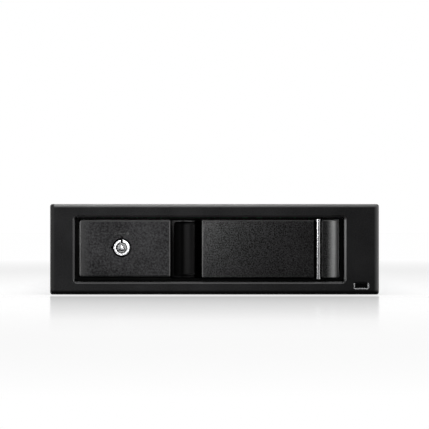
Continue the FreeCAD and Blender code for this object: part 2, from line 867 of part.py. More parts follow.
def light_pipe():
    """Clear bar from the lamps to the window, on three feet."""
    half = pipe_width / 2
    bar = rounded_panel(window_x - half, window_x + half, pipe_bottom, pipe_top,
                        pipe_front, pipe_back, pipe_corner)
    half_foot = pipe_foot_width / 2
    feet = []
    for index in range(pipe_foot_count):
        depth = pipe_foot_first + index * pipe_foot_pitch
        feet.append(block(window_x - half_foot, window_x + half_foot, depth, depth + pipe_foot,
                          steel, window_z))
    return bar.multiFuse(feet).removeSplitter()


def guide_rail(side):
    """Moulded box rail with the groove that a runner slides in; side is -1 or 1."""
    wall = side * inner_half
    runner_edge = runner_left if side < 0 else runner_right
    lip_edge = way_left if side < 0 else way_right
    groove = runner_edge + side * runner_gap
    groove_top = runner_top + runner_gap
    groove_bottom = pan_bottom - runner_gap
    outer = [
        (wall, rail_web_bottom), (groove + side * rail_wall, rail_web_bottom),
        (groove + side * rail_wall, steel), (groove, steel),
        (groove, groove_bottom - rail_lip), (lip_edge, groove_bottom - rail_lip),
        (lip_edge, groove_bottom), (groove, groove_bottom), (groove, groove_top),
        (lip_edge, groove_top), (lip_edge, groove_top + rail_lip, rail_lip / 2),
        (wall - side * rail_wall, groove_top + rail_lip, rail_wall),
        (wall - side * rail_wall, rail_web_top), (wall, rail_web_top),
    ]
    rail = drawn(outer, rail_front, pan_rear)
    x0, x1 = sorted((wall - side * rail_wall, groove + side * rail_wall))
    inside = block(x0, x1, rail_front - EASE, pan_rear + EASE, rail_web_bottom + rail_wall,
                   groove_top)
    cutters = [inside] + side_screw_cutters()
    x0, x1 = sorted((wall, wall - side * rail_wall))
    for depth in mount_depths:
        for level in mount_levels:
            cutters.append(block(x0, x1, depth - rail_window / 2, depth + rail_window / 2,
                                 level - rail_window / 2, level + rail_window / 2))
    return rail.cut(cutters)


def ground_springs():
    """Two bowed steel fingers that reach from the flange to the sides of the tray."""
    fingers = []
    base = flange_depth + steel
    middle = base + finger_length / 2
    tail = base + finger_length
    for side, edge, pan_side in ((-1, way_left, pan_left), (1, way_right, pan_right)):
        touch = pan_side + side * finger_touch_gap
        root = edge + side * finger_set_back
        back = side * finger_steel
        corners = [
            (root + side * finger_base, base), (root, base, finger_steel * 2),
            (root, base + finger_root, finger_root), (touch, middle, finger_bow),
            (root, tail), (root + back, tail), (touch + back, middle, finger_bow),
            (root + back, base + finger_root, finger_root),
            (root + back, base + finger_steel, finger_steel),
            (root + side * finger_base, base + finger_steel),
        ]
        fingers.append(drawn(corners, finger_bottom, finger_bottom + finger_width, UP))
    return fingers


def bezel_screws():
    """Four screws from behind the flange into the bezel's bosses."""
    reach = flange_depth + steel - bezel_face_wall - boss_floor - seat_gap
    return [pan_screw((x, flange_depth + steel, z), (0, -1, 0), reach)
            for x, z in bezel_screw_spots]


def cover_screws():
    """Six countersunk screws of the lid."""
    return [flat_screw((x, depth, body_height), (0, 0, -1), cover_screw_length)
            for x, depth in cover_screw_spots()]


def rail_screws():
    """Two countersunk screws at each side, into the rails."""
    return [flat_screw((side * body_half, depth, rail_screw_level), (-side, 0, 0),
                       rail_screw_length) for side in (-1, 1) for depth in rail_screw_depths]


def flange_rivets():
    """Four rivets through the side walls and the ears of the flange."""
    return [low_head_fastener(side, flange_rivet_depth, level, rivet_diameter,
                              steel * 2 + side_gap) for side in (-1, 1) for level in rivet_levels]


def rear_screws():
    """Four low screws through the side walls into the ears of the rear plate."""
    return [low_head_fastener(side, rear_screw_depth, level, screw_diameter,
                              steel * 2 + side_gap + EASE)
            for side in (-1, 1) for level in rear_screw_levels]


# ---------------------------------------------------------------- tray
def tray_front():
    """Moulded frame of the tray's front: pockets, lock boss, heel bay, pin ears and posts."""
    frame = rounded_panel(frame_left, frame_right, frame_bottom, frame_top, frame_recess,
                          frame_back, frame_corner)
    lock_pocket = block(lock_plate_left - seat_gap, lock_plate_right, 0, lock_pocket_floor,
                        lock_plate_bottom - seat_gap, frame_inner_top)
    face_pocket = block(lock_plate_right, frame_right - frame_side_wall, 0, back_wall_face,
                        frame_inner_bottom, frame_inner_top)
    lock_wall = lock_pocket_floor + frame_back_wall
    rear_hollow = block(frame_left + frame_side_wall, lock_plate_right - frame_side_wall,
                        lock_wall, frame_back + EASE, frame_bottom + frame_side_wall,
                        frame_top - frame_side_wall)
    heel_bay = block(heel_bay_left, frame_right - frame_side_wall, 0, frame_back + EASE,
                     frame_inner_bottom, frame_inner_top)
    frame = frame.cut([lock_pocket, face_pocket, rear_hollow, heel_bay])
    boss = rod(lock_boss, (lock_x, lock_pocket_floor, lock_z), frame_back - lock_pocket_floor)
    posts = []
    for x, z in post_spots:
        start = lock_wall if x < lock_plate_right else back_wall_face
        posts.append(rod(post_diameter, (x, start, z), pan_front - start))
    ears = []
    for bottom, top in ((frame_bottom, lever_bottom - seat_gap), (lever_top + seat_gap, frame_top)):
        corners = [
            (pin_x - ear_half, pin_ear_front, pin_ear_round),
            (pin_x + ear_half, pin_ear_front, pin_ear_round),
            (pin_x + ear_half, pin_ear_back), (pin_x - ear_half, pin_ear_back),
        ]
        ears.append(drawn(corners, bottom, top, UP))
    frame = frame.multiFuse([boss] + posts + ears)
    cutters = [rod(collar_hole, (lock_x, 0, lock_z), frame_back + EASE)]
    cutters += [rod(screw_hole, (x, back_wall_face, z), pan_front) for x, z in post_spots]
    pin_way = frame_top - pin_bottom + EASE
    cutters.append(rod(pin_bore, (pin_x, pin_depth, pin_bottom), pin_way, UP))
    cutters.append(block(pin_x - pin_bore / 2, pin_x + pin_bore / 2, 0, pin_depth,
                         pin_bottom, frame_top + EASE))
    return frame.cut(cutters).removeSplitter()


def lock_plate():
    """Cover left of the scoop, with its soft left edge and the keyed hole of the lock."""
    x0, x1, z0, z1 = lock_plate_left, lock_plate_right, lock_plate_bottom, lock_plate_top
    back = lock_pocket_floor - seat_gap
    plan = [(x0, face_depth, lock_plate_round), (x1, face_depth, plate_edge), (x1, back), (x0, back)]
    face = [(x0, z0, lock_plate_corner), (x1, z0, plate_edge), (x1, z1, plate_edge),
            (x0, z1, lock_plate_corner)]
    plate = drawn(plan, z0, z1, UP).common(drawn(face, face_depth, back))
    skirt = lock_plate_skirt
    wall = face_depth + lock_plate_wall
    hollow = block(x0 + skirt, x1 - skirt, wall, back + EASE, z0 + skirt, z1 - skirt)
    half = lock_notch_width / 2
    top_notch = block(lock_x - half, lock_x + half, 0, back + EASE, lock_z,
                      lock_z + lock_notch_reach)
    side_notch = block(lock_x - lock_side_notch_reach, lock_x, 0, back + EASE,
                       lock_z - half, lock_z + half)
    hole = rod(lock_hole, (lock_x, 0, lock_z), back + EASE)
    bevels = []
    for edge, inward in ((z0, 1), (z1, -1)):
        corners = [(face_depth, edge + inward * plate_edge), (face_depth + plate_edge, edge),
                   (face_depth + plate_edge, edge - inward), (-EASE, edge - inward),
                   (-EASE, edge + inward * plate_edge)]
        bevels.append(drawn(corners, x0, x1, ACROSS))
    return plate.cut([hollow, hole, top_notch, side_notch] + bevels)


def lock_collar():
    """Ring and body of the lock, with the key's notches in its front."""
    tube = rod(collar_diameter, (lock_x, collar_front, lock_z), collar_length)
    tube = tube.makeFillet(edge_round, flat_edges_at(tube, collar_front))
    tube = tube.cut(rod(collar_bore, (lock_x, 0, lock_z), collar_back + EASE))
    half = lock_notch_width / 2
    top = block(lock_x - half, lock_x + half, 0, collar_front + collar_top_notch, lock_z,
                lock_z + collar_diameter)
    side = block(lock_x - collar_diameter, lock_x - collar_bore / 2 - collar_notch_wall, 0,
                 collar_front + collar_side_notch, lock_z - half, lock_z + half)
    return tube.cut([top, side])


def lock_nut():
    """Six-sided nut that clamps the lock in the tray front."""
    nut = hexagon(nut_width, lock_x, lock_z, frame_back, frame_back + nut_height)
    return nut.cut(rod(collar_hole, (lock_x, 0, lock_z), body_rear))


def finger_scoop():
    """Smooth hollow for a finger, which runs on under the edge of the lever."""
    under = lever_back + lever_clear
    corners = [(scoop_left, scoop_face, edge_round), (scoop_mouth, scoop_face),
               (scoop_mouth, under), (scoop_end, under), (scoop_end, scoop_back),
               (scoop_left, scoop_back)]
    body = drawn(corners, scoop_bottom, scoop_top, UP)
    right = scoop_end - scoop_wall
    hollow = [
        (scoop_left + edge_round, -scoop_radius),
        (scoop_left + scoop_wall * 2, scoop_floor, scoop_radius),
        (right, scoop_floor, scoop_right_round), (right, -scoop_radius),
    ]
    low, high = scoop_bottom + scoop_end_wall, scoop_top - scoop_end_wall
    cutter = drawn(hollow, low, high, UP)
    ends = []
    for edge in cutter.Edges:
        box = edge.BoundBox
        level = near(box.ZMin, box.ZMax) and box.YMax > 0
        if level and (near(box.YMin, scoop_floor) or box.XLength > scoop_wall * 4):
            ends.append(edge)
    cutter = cutter.makeFillet(scoop_end_round, ends)
    open_side = block(scoop_mouth - edge_round, scoop_end + EASE, -EASE, under, low, high)
    return body.cut([cutter, open_side])


def pivot_pin():
    """Steel pin of the lever, held at both ends by the tray front."""
    bottom = pin_bottom + pin_end_gap
    top = frame_top - pin_end_gap
    pin = rod(pin_diameter, (pin_x, pin_depth, bottom), top - bottom, UP)
    return pin.makeChamfer(edge_round, [edge for edge in pin.Edges if edge.Closed])


def lever_catch():
    """Spring clip on the tray front whose two arms hold the lever's hook."""
    grip = hook_bulb / 2 + catch_gap
    outside = grip + catch_steel
    root = back_wall_face
    neck = catch_front + catch_neck
    corners = [
        (root, hook_z - catch_half - catch_steel, catch_steel * 2),
        (root, hook_z + catch_half + catch_steel, catch_steel * 2),
        (neck, hook_z + outside, catch_steel), (catch_front, hook_z + outside + catch_flare),
        (catch_front, hook_z + grip + catch_flare), (neck, hook_z + grip, catch_steel),
        (root - catch_steel, hook_z + catch_half, catch_steel),
        (root - catch_steel, hook_z - catch_half, catch_steel),
        (neck, hook_z - grip, catch_steel), (catch_front, hook_z - grip - catch_flare),
        (catch_front, hook_z - outside - catch_flare), (neck, hook_z - outside, catch_steel),
    ]
    return drawn(corners, hook_x - hook_width / 2, hook_x + hook_width / 2, ACROSS)


def lever_spring():
    """Leaf spring that pushes the lever open once its catch lets go."""
    root = back_wall_face
    tip = lever_back + lever_clear
    bend_x = spring_left + spring_bend_reach
    tip_x = spring_left + spring_tip_reach
    end_x = tip_x + spring_tip_length
    corners = [
        (spring_left, root), (spring_left, root - spring_steel),
        (bend_x, root - spring_steel, spring_bend_round), (tip_x, tip, spring_tip_round),
        (end_x, tip + spring_tip_fall), (end_x, tip + spring_tip_fall + spring_steel),
        (tip_x, tip + spring_steel, spring_tip_round - spring_steel),
        (bend_x, root, spring_bend_round - spring_steel),
    ]
    half = spring_width / 2
    return drawn(corners, lever_middle - half, lever_middle + half, UP)


def tray_pan():
    """Folded pan that carries the drive, with a front wall, vents and the drive's holes."""
    inner_bend = pan_bend - pan_steel
    corners = [
        (pan_left, pan_top), (pan_left, pan_bottom, pan_bend), (pan_right, pan_bottom, pan_bend),
        (pan_right, pan_top), (pan_right - pan_steel, pan_top),
        (pan_right - pan_steel, pan_bottom + pan_steel, inner_bend),
        (pan_left + pan_steel, pan_bottom + pan_steel, inner_bend),
        (pan_left + pan_steel, pan_top),
    ]
    pan = drawn(corners, pan_front, pan_rear)
    wall_top = pan_bottom + pan_front_height
    inset = pan_steel / 2
    wall = block(pan_left + inset, pan_right - inset, pan_front, pan_front + pan_steel,
                 pan_bottom + inset, wall_top)
    y0, y1 = pan_front - EASE, pan_front + pan_steel + EASE
    cutters = [rod(clear_hole, (x, y0, z), y1 - y0) for x, z in post_spots]
    z0, z1 = pan_bottom - EASE, pan_bottom + pan_steel + EASE
    cutters += [rod(drive_hole, (x, y, z0), z1 - z0, UP) for x, y in drive_hole_spots()]
    cutters += runner_rivets()
    columns = vent_columns - 1
    cutters += slots(tray_x - vent_pitch_x * (columns - 1) / 2, pan_vent_rows, z0, z1, columns)
    cutters.append(rounded_panel(tray_x - vent_pitch_x, tray_x + vent_pitch_x,
                                 pan_bottom + pan_window_sill, wall_top - pan_window_lintel,
                                 y0, y1, board_window_corner))
    return pan.fuse(wall).cut(cutters)


def drive_hole_spots():
    """Places of the four screw holes under the drive."""
    first = drive_front + drive_hole_first
    return [(tray_x + side * drive_hole_span / 2, first + step * drive_hole_pitch)
            for side in (-1, 1) for step in (0, 1)]


def runner(side):
    """Nylon strip along one side of the pan, tapered at both ends; side is -1 or 1."""
    pan_side = pan_left if side < 0 else pan_right
    edge = runner_left if side < 0 else runner_right
    lead = runner_width / 2
    corners = [
        (pan_side, pan_front), (edge - side * lead, pan_front), (edge, pan_front + lead * 2),
        (edge, pan_rear - lead * 2), (edge - side * lead, pan_rear), (pan_side, pan_rear),
    ]
    return drawn(corners, pan_bottom, runner_top, UP).cut(runner_rivets())


def runner_rivets():
    """Four flush rivets that hold the runners, with blind ends in the nylon."""
    z = pan_bottom + runner_height / 2
    depth = runner_width - runner_rivet_skin
    made = []
    for y in (pan_front + runner_rivet_inset, pan_rear - runner_rivet_inset):
        made.append(rod(rivet_diameter, (pan_left - depth, y, z), depth + pan_steel, ACROSS))
        made.append(rod(rivet_diameter, (pan_right - pan_steel, y, z), depth + pan_steel, ACROSS))
    return made


def front_screws():
    """Four screws through the pan's front wall into the posts of the tray front."""
    reach = pan_steel + pan_front - back_wall_face - seat_gap
    return [pan_screw((x, pan_front + pan_steel, z), (0, -1, 0), reach) for x, z in post_spots]


def insulation_sheet():
    """Thin sheet between the pan and the drive's board, cut out round the drive's screws."""
    half = drive_width / 2 - sheet_inset
    sheet = block(tray_x - half, tray_x + half, drive_front + sheet_inset,
                  pan_rear - sheet_inset, drive_bottom - sheet_thickness, drive_bottom)
    around = drive_hole
    holes = [block(x - around, x + around, y - around, y + around,
                   drive_bottom - EASE, drive_bottom + EASE) for x, y in drive_hole_spots()]
    return sheet.cut(holes)


# ---------------------------------------------------------------- lever
def lever_handle():
    """Grip plate, open barrel and heel, drawn up from one outline and hollowed behind."""
    barrel = barrel_diameter / 2
    slot = pin_bore / 2
    corners = [
        (lever_left, face_depth, lever_edge), (pin_x, face_depth),
        (pin_x + heel_shoulder, face_depth, heel_bulge), (heel_right, heel_edge, heel_corner),
        (pin_x + heel_back_reach, heel_back, heel_corner),
        (pin_x + barrel, pin_depth + barrel, barrel_right_round),
        (pin_x - barrel, pin_depth + barrel, barrel_left_round),
        (pin_x - barrel * 2, lever_back, barrel_left_round), (lever_left, lever_back, edge_round * 2),
    ]
    lever = drawn(corners, lever_bottom, lever_top, UP)
    rim = [edge for edge in flat_edges_at(lever, face_depth)
           if near(edge.BoundBox.ZMin, edge.BoundBox.ZMax)]
    lever = lever.makeChamfer(lever_bevel, rim)
    pin_way = rod(pin_bore, (pin_x, pin_depth, lever_bottom - EASE), lever_top, UP)
    front_way = block(pin_x - slot, pin_x + slot, -EASE, pin_depth, lever_bottom - EASE,
                      lever_top + EASE)
    left = lever_left + lever_rim * 2
    right = pin_x - barrel_diameter - lever_rib_width
    skin = face_depth + lever_skin
    low, high = lever_bottom + lever_rim, lever_top - lever_rim
    hollow = block(left, right, skin, lever_back + EASE, low, high)
    half_rib = lever_rib_width / 2
    ribs = []
    for index in range(lever_ribs):
        x = left + (right - left) * (index + 1) / (lever_ribs + 1)
        ribs.append(block(x - half_rib, x + half_rib, skin - half_rib, lever_back,
                          low - half_rib, high + half_rib))
    seat_half = hook_width / 2 + lever_rib_width
    seat = block(hook_x - seat_half, hook_x + seat_half, skin - half_rib, lever_back,
                 hook_z - hook_bulb, hook_z + hook_bulb)
    lever = lever.cut([hollow, pin_way, front_way]).multiFuse(ribs + [seat])
    return lever.cut(lever_hook()).removeSplitter()


def lever_hook():
    """Flat steel hook with a round head, pressed into the seat on the back of the lever."""
    left = hook_x - hook_width / 2
    stem = block(left, left + hook_width, face_depth + lever_skin, hook_tip,
                 hook_z - hook_stem / 2, hook_z + hook_stem / 2)
    head = rod(hook_bulb, (left, hook_tip, hook_z), hook_width, ACROSS)
    return stem.fuse(head).removeSplitter()


# ---------------------------------------------------------------- lock spindle
def spindle_tail(front, back):
    """Flatted end of the spindle between two depths."""
    round_tail = rod(spindle_core, (lock_x, front, lock_z), back - front)
    flats = block(lock_x - spindle_core, lock_x + spindle_core, front, back,
                  lock_z - spindle_flat / 2, lock_z + spindle_flat / 2)
    return round_tail.common(flats)


def lock_spindle():
    """Turning core of the lock, with its centre post, raised mark and flatted tail."""
    face = face_depth + spindle_recess
    slot_floor = face + key_slot_depth
    post = rod(post_face, (lock_x, face, lock_z), key_slot_depth + EASE)
    post = post.makeChamfer(edge_round, flat_edges_at(post, face))
    body = rod(spindle_core, (lock_x, slot_floor, lock_z), collar_back - slot_floor)
    half = mark_width / 2
    rise = mark_height / 2
    mark = drawn([(lock_x - half, lock_z - rise), (lock_x + half, lock_z - rise),
                  (lock_x, lock_z + rise)], face - mark_relief, face + EASE)
    spindle = post.multiFuse([body, spindle_tail(collar_back, cam_back), mark]).removeSplitter()
    screw_start = cam_back - cam_screw_hole
    return spindle.cut(rod(cam_screw_shank, (lock_x, screw_start, lock_z), cam_screw_hole))


def lock_cam():
    """Arm on the tail of the spindle that turns up behind the flange."""
    arm_half = cam_tip_width / 2
    tip = lock_x + cam_reach
    arm = drawn([(lock_x, lock_z - cam_hub / 2), (tip, lock_z - arm_half, cam_tip_round),
                 (tip, lock_z + arm_half, cam_tip_round), (lock_x, lock_z + cam_hub / 2)],
                cam_front, cam_back)
    cam = rod(cam_hub, (lock_x, cam_front, lock_z), cam_thickness).fuse(arm).removeSplitter()
    return cam.cut(spindle_tail(cam_front - EASE, cam_back + EASE))


def cam_screw():
    """Small screw that holds the arm on the spindle."""
    return pan_screw((lock_x, cam_back, lock_z), (0, -1, 0), cam_screw_length, cam_screw_shank)


def save(name, shape):
    """Write one node, with the origin moved to below the middle of the cage."""
    solids = shape if isinstance(shape, list) else [shape]
    solids = [solid for piece in solids for solid in piece.Solids]
    node = solids[0] if len(solids) == 1 else Part.makeCompound(solids)
    node = node.copy()
    node.translate(FreeCAD.Vector(0, -overall_depth / 2, 0))
    node.exportStep("parts/" + name + ".step")


def main():
    """Make and save every node."""
    os.makedirs("parts", exist_ok=True)
    makers = [
        front_bezel, front_flange, lower_chassis, top_cover, rear_plate, backplane_board,
        board_posts, board_screws, drive_connector, data_port, power_port, power_pins, board_chip,
        board_capacitors, status_lamps, light_pipe, ground_springs, bezel_screws, cover_screws,
        rail_screws, flange_rivets, rear_screws, tray_front, lock_plate, lock_collar, lock_nut,
        finger_scoop, pivot_pin, lever_catch, lever_spring, tray_pan, runner_rivets, front_screws,
        insulation_sheet, lever_handle, lever_hook, lock_spindle, lock_cam, cam_screw,
    ]
    for make in makers:
        save(make.__name__, make())
    for side, word in ((-1, "left"), (1, "right")):
        save("guide_rail_" + word, guide_rail(side))
        save("tray_runner_" + word, runner(side))


main()
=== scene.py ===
"""Finishes, fine detail, floor, lights and camera for the hot swap drive cage."""
import json
import logging
import math
from dataclasses import dataclass, field
from enum import Enum
from typing import Any, Optional, Sequence, Union

import bmesh
import bpy
from mathutils import Matrix, Vector


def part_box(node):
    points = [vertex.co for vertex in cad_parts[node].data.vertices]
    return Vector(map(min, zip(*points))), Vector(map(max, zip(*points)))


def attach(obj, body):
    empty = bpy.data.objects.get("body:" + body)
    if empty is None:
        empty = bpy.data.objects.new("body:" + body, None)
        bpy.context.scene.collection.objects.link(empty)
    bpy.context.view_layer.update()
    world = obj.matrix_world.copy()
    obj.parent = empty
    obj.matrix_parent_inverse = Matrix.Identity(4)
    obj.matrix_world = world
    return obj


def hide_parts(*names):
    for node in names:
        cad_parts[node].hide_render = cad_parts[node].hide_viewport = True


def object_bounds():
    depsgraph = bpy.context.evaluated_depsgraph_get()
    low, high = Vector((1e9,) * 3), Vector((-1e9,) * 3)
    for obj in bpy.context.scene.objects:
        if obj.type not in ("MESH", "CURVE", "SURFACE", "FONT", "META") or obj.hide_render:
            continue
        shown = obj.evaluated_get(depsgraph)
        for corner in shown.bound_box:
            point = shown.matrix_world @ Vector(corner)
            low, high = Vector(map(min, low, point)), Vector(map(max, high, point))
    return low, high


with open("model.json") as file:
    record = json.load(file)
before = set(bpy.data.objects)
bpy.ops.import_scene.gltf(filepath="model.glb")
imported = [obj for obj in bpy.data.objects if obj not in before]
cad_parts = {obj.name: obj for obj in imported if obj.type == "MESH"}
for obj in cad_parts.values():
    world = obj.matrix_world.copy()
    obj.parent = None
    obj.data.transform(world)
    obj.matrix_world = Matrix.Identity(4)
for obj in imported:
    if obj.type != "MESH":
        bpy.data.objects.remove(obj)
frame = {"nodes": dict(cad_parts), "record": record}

CAD_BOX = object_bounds()
MM = 0.001
SAME_PLACE = 1e-6               # points nearer than this, in metres, are one

log = logging.getLogger("drive_cage")

Colour = tuple[float, float, float]
Spot = tuple[float, float, float]
Stops = tuple[tuple[float, float], ...]
Value = Union["Tap", float]
Inputs = dict[Union[int, str], Any]


def grey(level: float) -> Colour:
    """Return a grey of a level."""
    return level, level, level


def scaled(colour: Colour, factor: float, lift: float = 0.0) -> Colour:
    """Return a colour with its parts multiplied and lifted, up to 1."""
    red, green, blue = (min(1.0, part * factor + lift) for part in colour)
    return red, green, blue


class Body(Enum):
    """The bodies of the frame that the added pieces ride on."""

    CAGE = "cage"
    TRAY = "tray"
    LOCK = "lock"


class Side(Enum):
    """The sides of a moulding, seen from the front: which axis, and which end of it."""

    LEFT = ("X", 0)
    RIGHT = ("X", 1)
    BOTTOM = ("Z", 0)
    TOP = ("Z", 1)


# ------------------------------------------------------------------ shader maths
class Tap:
    """One output socket, which takes part in sums and products of values."""

    def __init__(self, recipe: "Recipe", socket: bpy.types.NodeSocket) -> None:
        """Wrap a socket.

        Args:
            recipe: the node tree that holds the socket.
            socket: the output socket.
        """
        self.recipe = recipe
        self.socket = socket

    def _math(self, operation: str, first: Value, second: Value) -> "Tap":
        """Add a Math node for an operation on two values.

        Args:
            operation: the node's operation.
            first: its first value or tap.
            second: its second value or tap.

        Returns:
            The tap of its result.
        """
        return self.recipe.node("ShaderNodeMath", {"operation": operation}, {0: first, 1: second})

    def __add__(self, other: Value) -> "Tap":
        """Return the sum."""
        return self._math("ADD", self, other)

    def __radd__(self, other: Value) -> "Tap":
        """Return the sum with a number on the left."""
        return self._math("ADD", other, self)

    def __sub__(self, other: Value) -> "Tap":
        """Return the difference."""
        return self._math("SUBTRACT", self, other)

    def __rsub__(self, other: Value) -> "Tap":
        """Return the difference from a number on the left."""
        return self._math("SUBTRACT", other, self)

    def __mul__(self, other: Value) -> "Tap":
        """Return the product."""
        return self._math("MULTIPLY", self, other)

    def __rmul__(self, other: Value) -> "Tap":
        """Return the product with a number on the left."""
        return self._math("MULTIPLY", other, self)

    def __truediv__(self, other: Value) -> "Tap":
        """Return the quotient."""
        return self._math("DIVIDE", self, other)

    def __rtruediv__(self, other: Value) -> "Tap":
        """Return the quotient with a number on the left."""
        return self._math("DIVIDE", other, self)

    def __gt__(self, other: Value) -> "Tap":
        """Return 1 where this value is the greater, and 0 elsewhere."""
        return self._math("GREATER_THAN", self, other)

    def __lt__(self, other: Value) -> "Tap":
        """Return 1 where this value is the less; a number > a tap comes here."""
        return self._math("LESS_THAN", self, other)


class Recipe:
    """The node tree of one material or of the world."""

    def __init__(self, owner: Union[bpy.types.Material, bpy.types.World]) -> None:
        """Empty a node tree.

        Args:
            owner: the material or the world that has the tree.
        """
        owner.use_nodes = True
        self.owner = owner
        self.tree = owner.node_tree
        self.tree.nodes.clear()

    def node(self, kind: str, settings: Optional[dict[str, Any]] = None,
             inputs: Optional[Inputs] = None, output: Union[int, str] = 0) -> Tap:
        """Add one node.

        Args:
            kind: the node's type.
            settings: its own settings, with "stops" for a ramp's stops; they are set first.
            inputs: values or taps for its input sockets.
            output: which of its outputs is wanted.

        Returns:
            The tap of that output.
        """
        made = self.tree.nodes.new(kind)
        for key, value in (settings or {}).items():
            if key == "stops":
                self._set_stops(made.color_ramp, value)
            else:
                setattr(made, key, value)
        for key, value in (inputs or {}).items():
            if isinstance(value, Tap):
                self.tree.links.new(value.socket, made.inputs[key])
            else:
                made.inputs[key].default_value = value
        return Tap(self, made.outputs[output])

    @staticmethod
    def _set_stops(ramp: bpy.types.ColorRamp, stops: Stops) -> None:
        """Give a ramp its grey stops.

        Args:
            ramp: the ramp of a Color Ramp node.
            stops: pairs of place and grey value.
        """
        while len(ramp.elements) < len(stops):
            ramp.elements.new(0.5)
        for element, (place, level) in zip(ramp.elements, stops):
            element.position = place
            element.color = (*grey(level), 1.0)

    def place(self, stretch: Sequence[float] = (1.0, 1.0, 1.0)) -> Tap:
        """Return the object's own coordinates, stretched along each axis."""
        here = self.node("ShaderNodeTexCoord", output="Object")
        return self.node("ShaderNodeVectorMath", {"operation": "MULTIPLY"},
                         {0: here, 1: tuple(stretch)})

    def along(self, axis: str, vector: Tap) -> Tap:
        """Return the part of a vector along an axis."""
        return self.node("ShaderNodeSeparateXYZ", {}, {0: vector}, axis)

    def noise(self, where: Tap, size_mm: float, detail: float = 3.0,
              roughness: float = 0.55) -> Tap:
        """Return soft noise between 0 and 1.

        Args:
            where: the coordinates.
            size_mm: the size of its features in millimetres.
            detail: its number of octaves.
            roughness: how strong the finer octaves are.

        Returns:
            The noise.
        """
        return self.node("ShaderNodeTexNoise", {}, {
            "Vector": where, "Scale": 1.0 / (size_mm * MM), "Detail": detail,
            "Roughness": roughness,
        }, "Fac")

    def ramp(self, value: Tap, stops: Stops) -> Tap:
        """Return a value passed through a ramp's stops."""
        return self.node("ShaderNodeValToRGB", {"stops": stops}, {"Fac": value})

    def blend(self, amount: Tap, first: Union[Tap, Colour], second: Union[Tap, Colour]) -> Tap:
        """Mix two colours.

        Args:
            amount: 0 for the first, 1 for the second.
            first: a colour or its tap.
            second: a colour or its tap.

        Returns:
            The colour between them.
        """
        def full(colour: Union[Tap, Colour]) -> Any:
            """Return a colour with its alpha, or the tap as it is."""
            return colour if isinstance(colour, Tap) else (*colour, 1.0)

        return self.node("ShaderNodeMix", {"data_type": "RGBA"},
                         {0: amount, 6: full(first), 7: full(second)}, 2)

    def bump(self, height: Tap, depth_mm: float) -> Tap:
        """Return the normal of a height between 0 and 1, where 1 is so many millimetres."""
        return self.node("ShaderNodeBump", {}, {
            "Strength": 1.0, "Distance": depth_mm * MM, "Height": height,
        })

    def shader(self, kind: str, level: float, **inputs: Any) -> Tap:
        """Return a plain shader of a grey level, with more inputs by name."""
        return self.node(kind, {}, {"Color": (*grey(level), 1.0), **inputs})

    def mixed(self, amount: Tap, first: Tap, second: Tap) -> Tap:
        """Return a shader between two shaders."""
        return self.node("ShaderNodeMixShader", {}, {0: amount, 1: first, 2: second})

    def surface(self, inputs: Inputs) -> bpy.types.Material:
        """Close the recipe with a Principled surface.

        Args:
            inputs: values or taps of the Principled node's sockets.

        Returns:
            The finished material.
        """
        self.out(self.node("ShaderNodeBsdfPrincipled", {}, inputs))
        return self.owner

    def out(self, shader: Tap, kind: str = "ShaderNodeOutputMaterial") -> None:
        """Lead a shader to a new output node of the tree."""
        made = self.tree.nodes.new(kind)
        self.tree.links.new(shader.socket, made.inputs["Surface"])


# ------------------------------------------------------------------ finishes
@dataclass(frozen=True)
class PaintedRim:
    """Border along one side of a moulding, painted lighter as a highlight or darker as shade.

    Attributes:
        side: the side that it follows.
        width_mm: its width.
        level: its grey at the edge.
        full: the share of the width that has the whole tone.
    """

    side: Side
    width_mm: float
    level: float
    full: float = 0.35

    def over(self, recipe: Recipe, colour: Tap, node: str) -> Tap:
        """Lay the rim over a colour.

        Args:
            recipe: the material's recipe.
            colour: the colour without the rim.
            node: the CAD node whose box gives the edge.

        Returns:
            The colour with the rim.
        """
        axis, end = self.side.value
        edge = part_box(node)[end]["XYZ".index(axis)]
        here = recipe.along(axis, recipe.place())
        inward = (edge - here) if end else (here - edge)
        share = inward / (self.width_mm * MM)
        amount = recipe.ramp(share, ((0.0, 1.0), (self.full, 1.0), (1.0, 0.0)))
        return recipe.blend(amount, colour, grey(self.level))


@dataclass(frozen=True)
class Shade:
    """Stretch of a moulding painted dark as shade and kept without gloss, such as the walls of a
    gap.

    Attributes:
        axis: the axis along which it is measured.
        place_mm: its middle, from the node's lowest corner.
        half_mm: half its width.
        fade: the ramp at its ends, whose middle is the end itself.
    """

    axis: str
    place_mm: float
    half_mm: float
    fade: Stops = ((0.38, 0.0), (0.62, 1.0))

    def outside_shade(self, recipe: Recipe, node: str) -> Tap:
        """Tell the stretch from the rest of the moulding.

        Args:
            recipe: the material's recipe.
            node: the CAD node whose box gives the lowest corner.

        Returns:
            0 inside the stretch and 1 outside it.
        """
        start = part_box(node)[0]["XYZ".index(self.axis)] + self.place_mm * MM
        here = recipe.along(self.axis, recipe.place())
        away = recipe.node("ShaderNodeMath", {"operation": "ABSOLUTE"}, {0: here - start})
        return recipe.ramp(away / (self.half_mm * MM) - 0.5, self.fade)


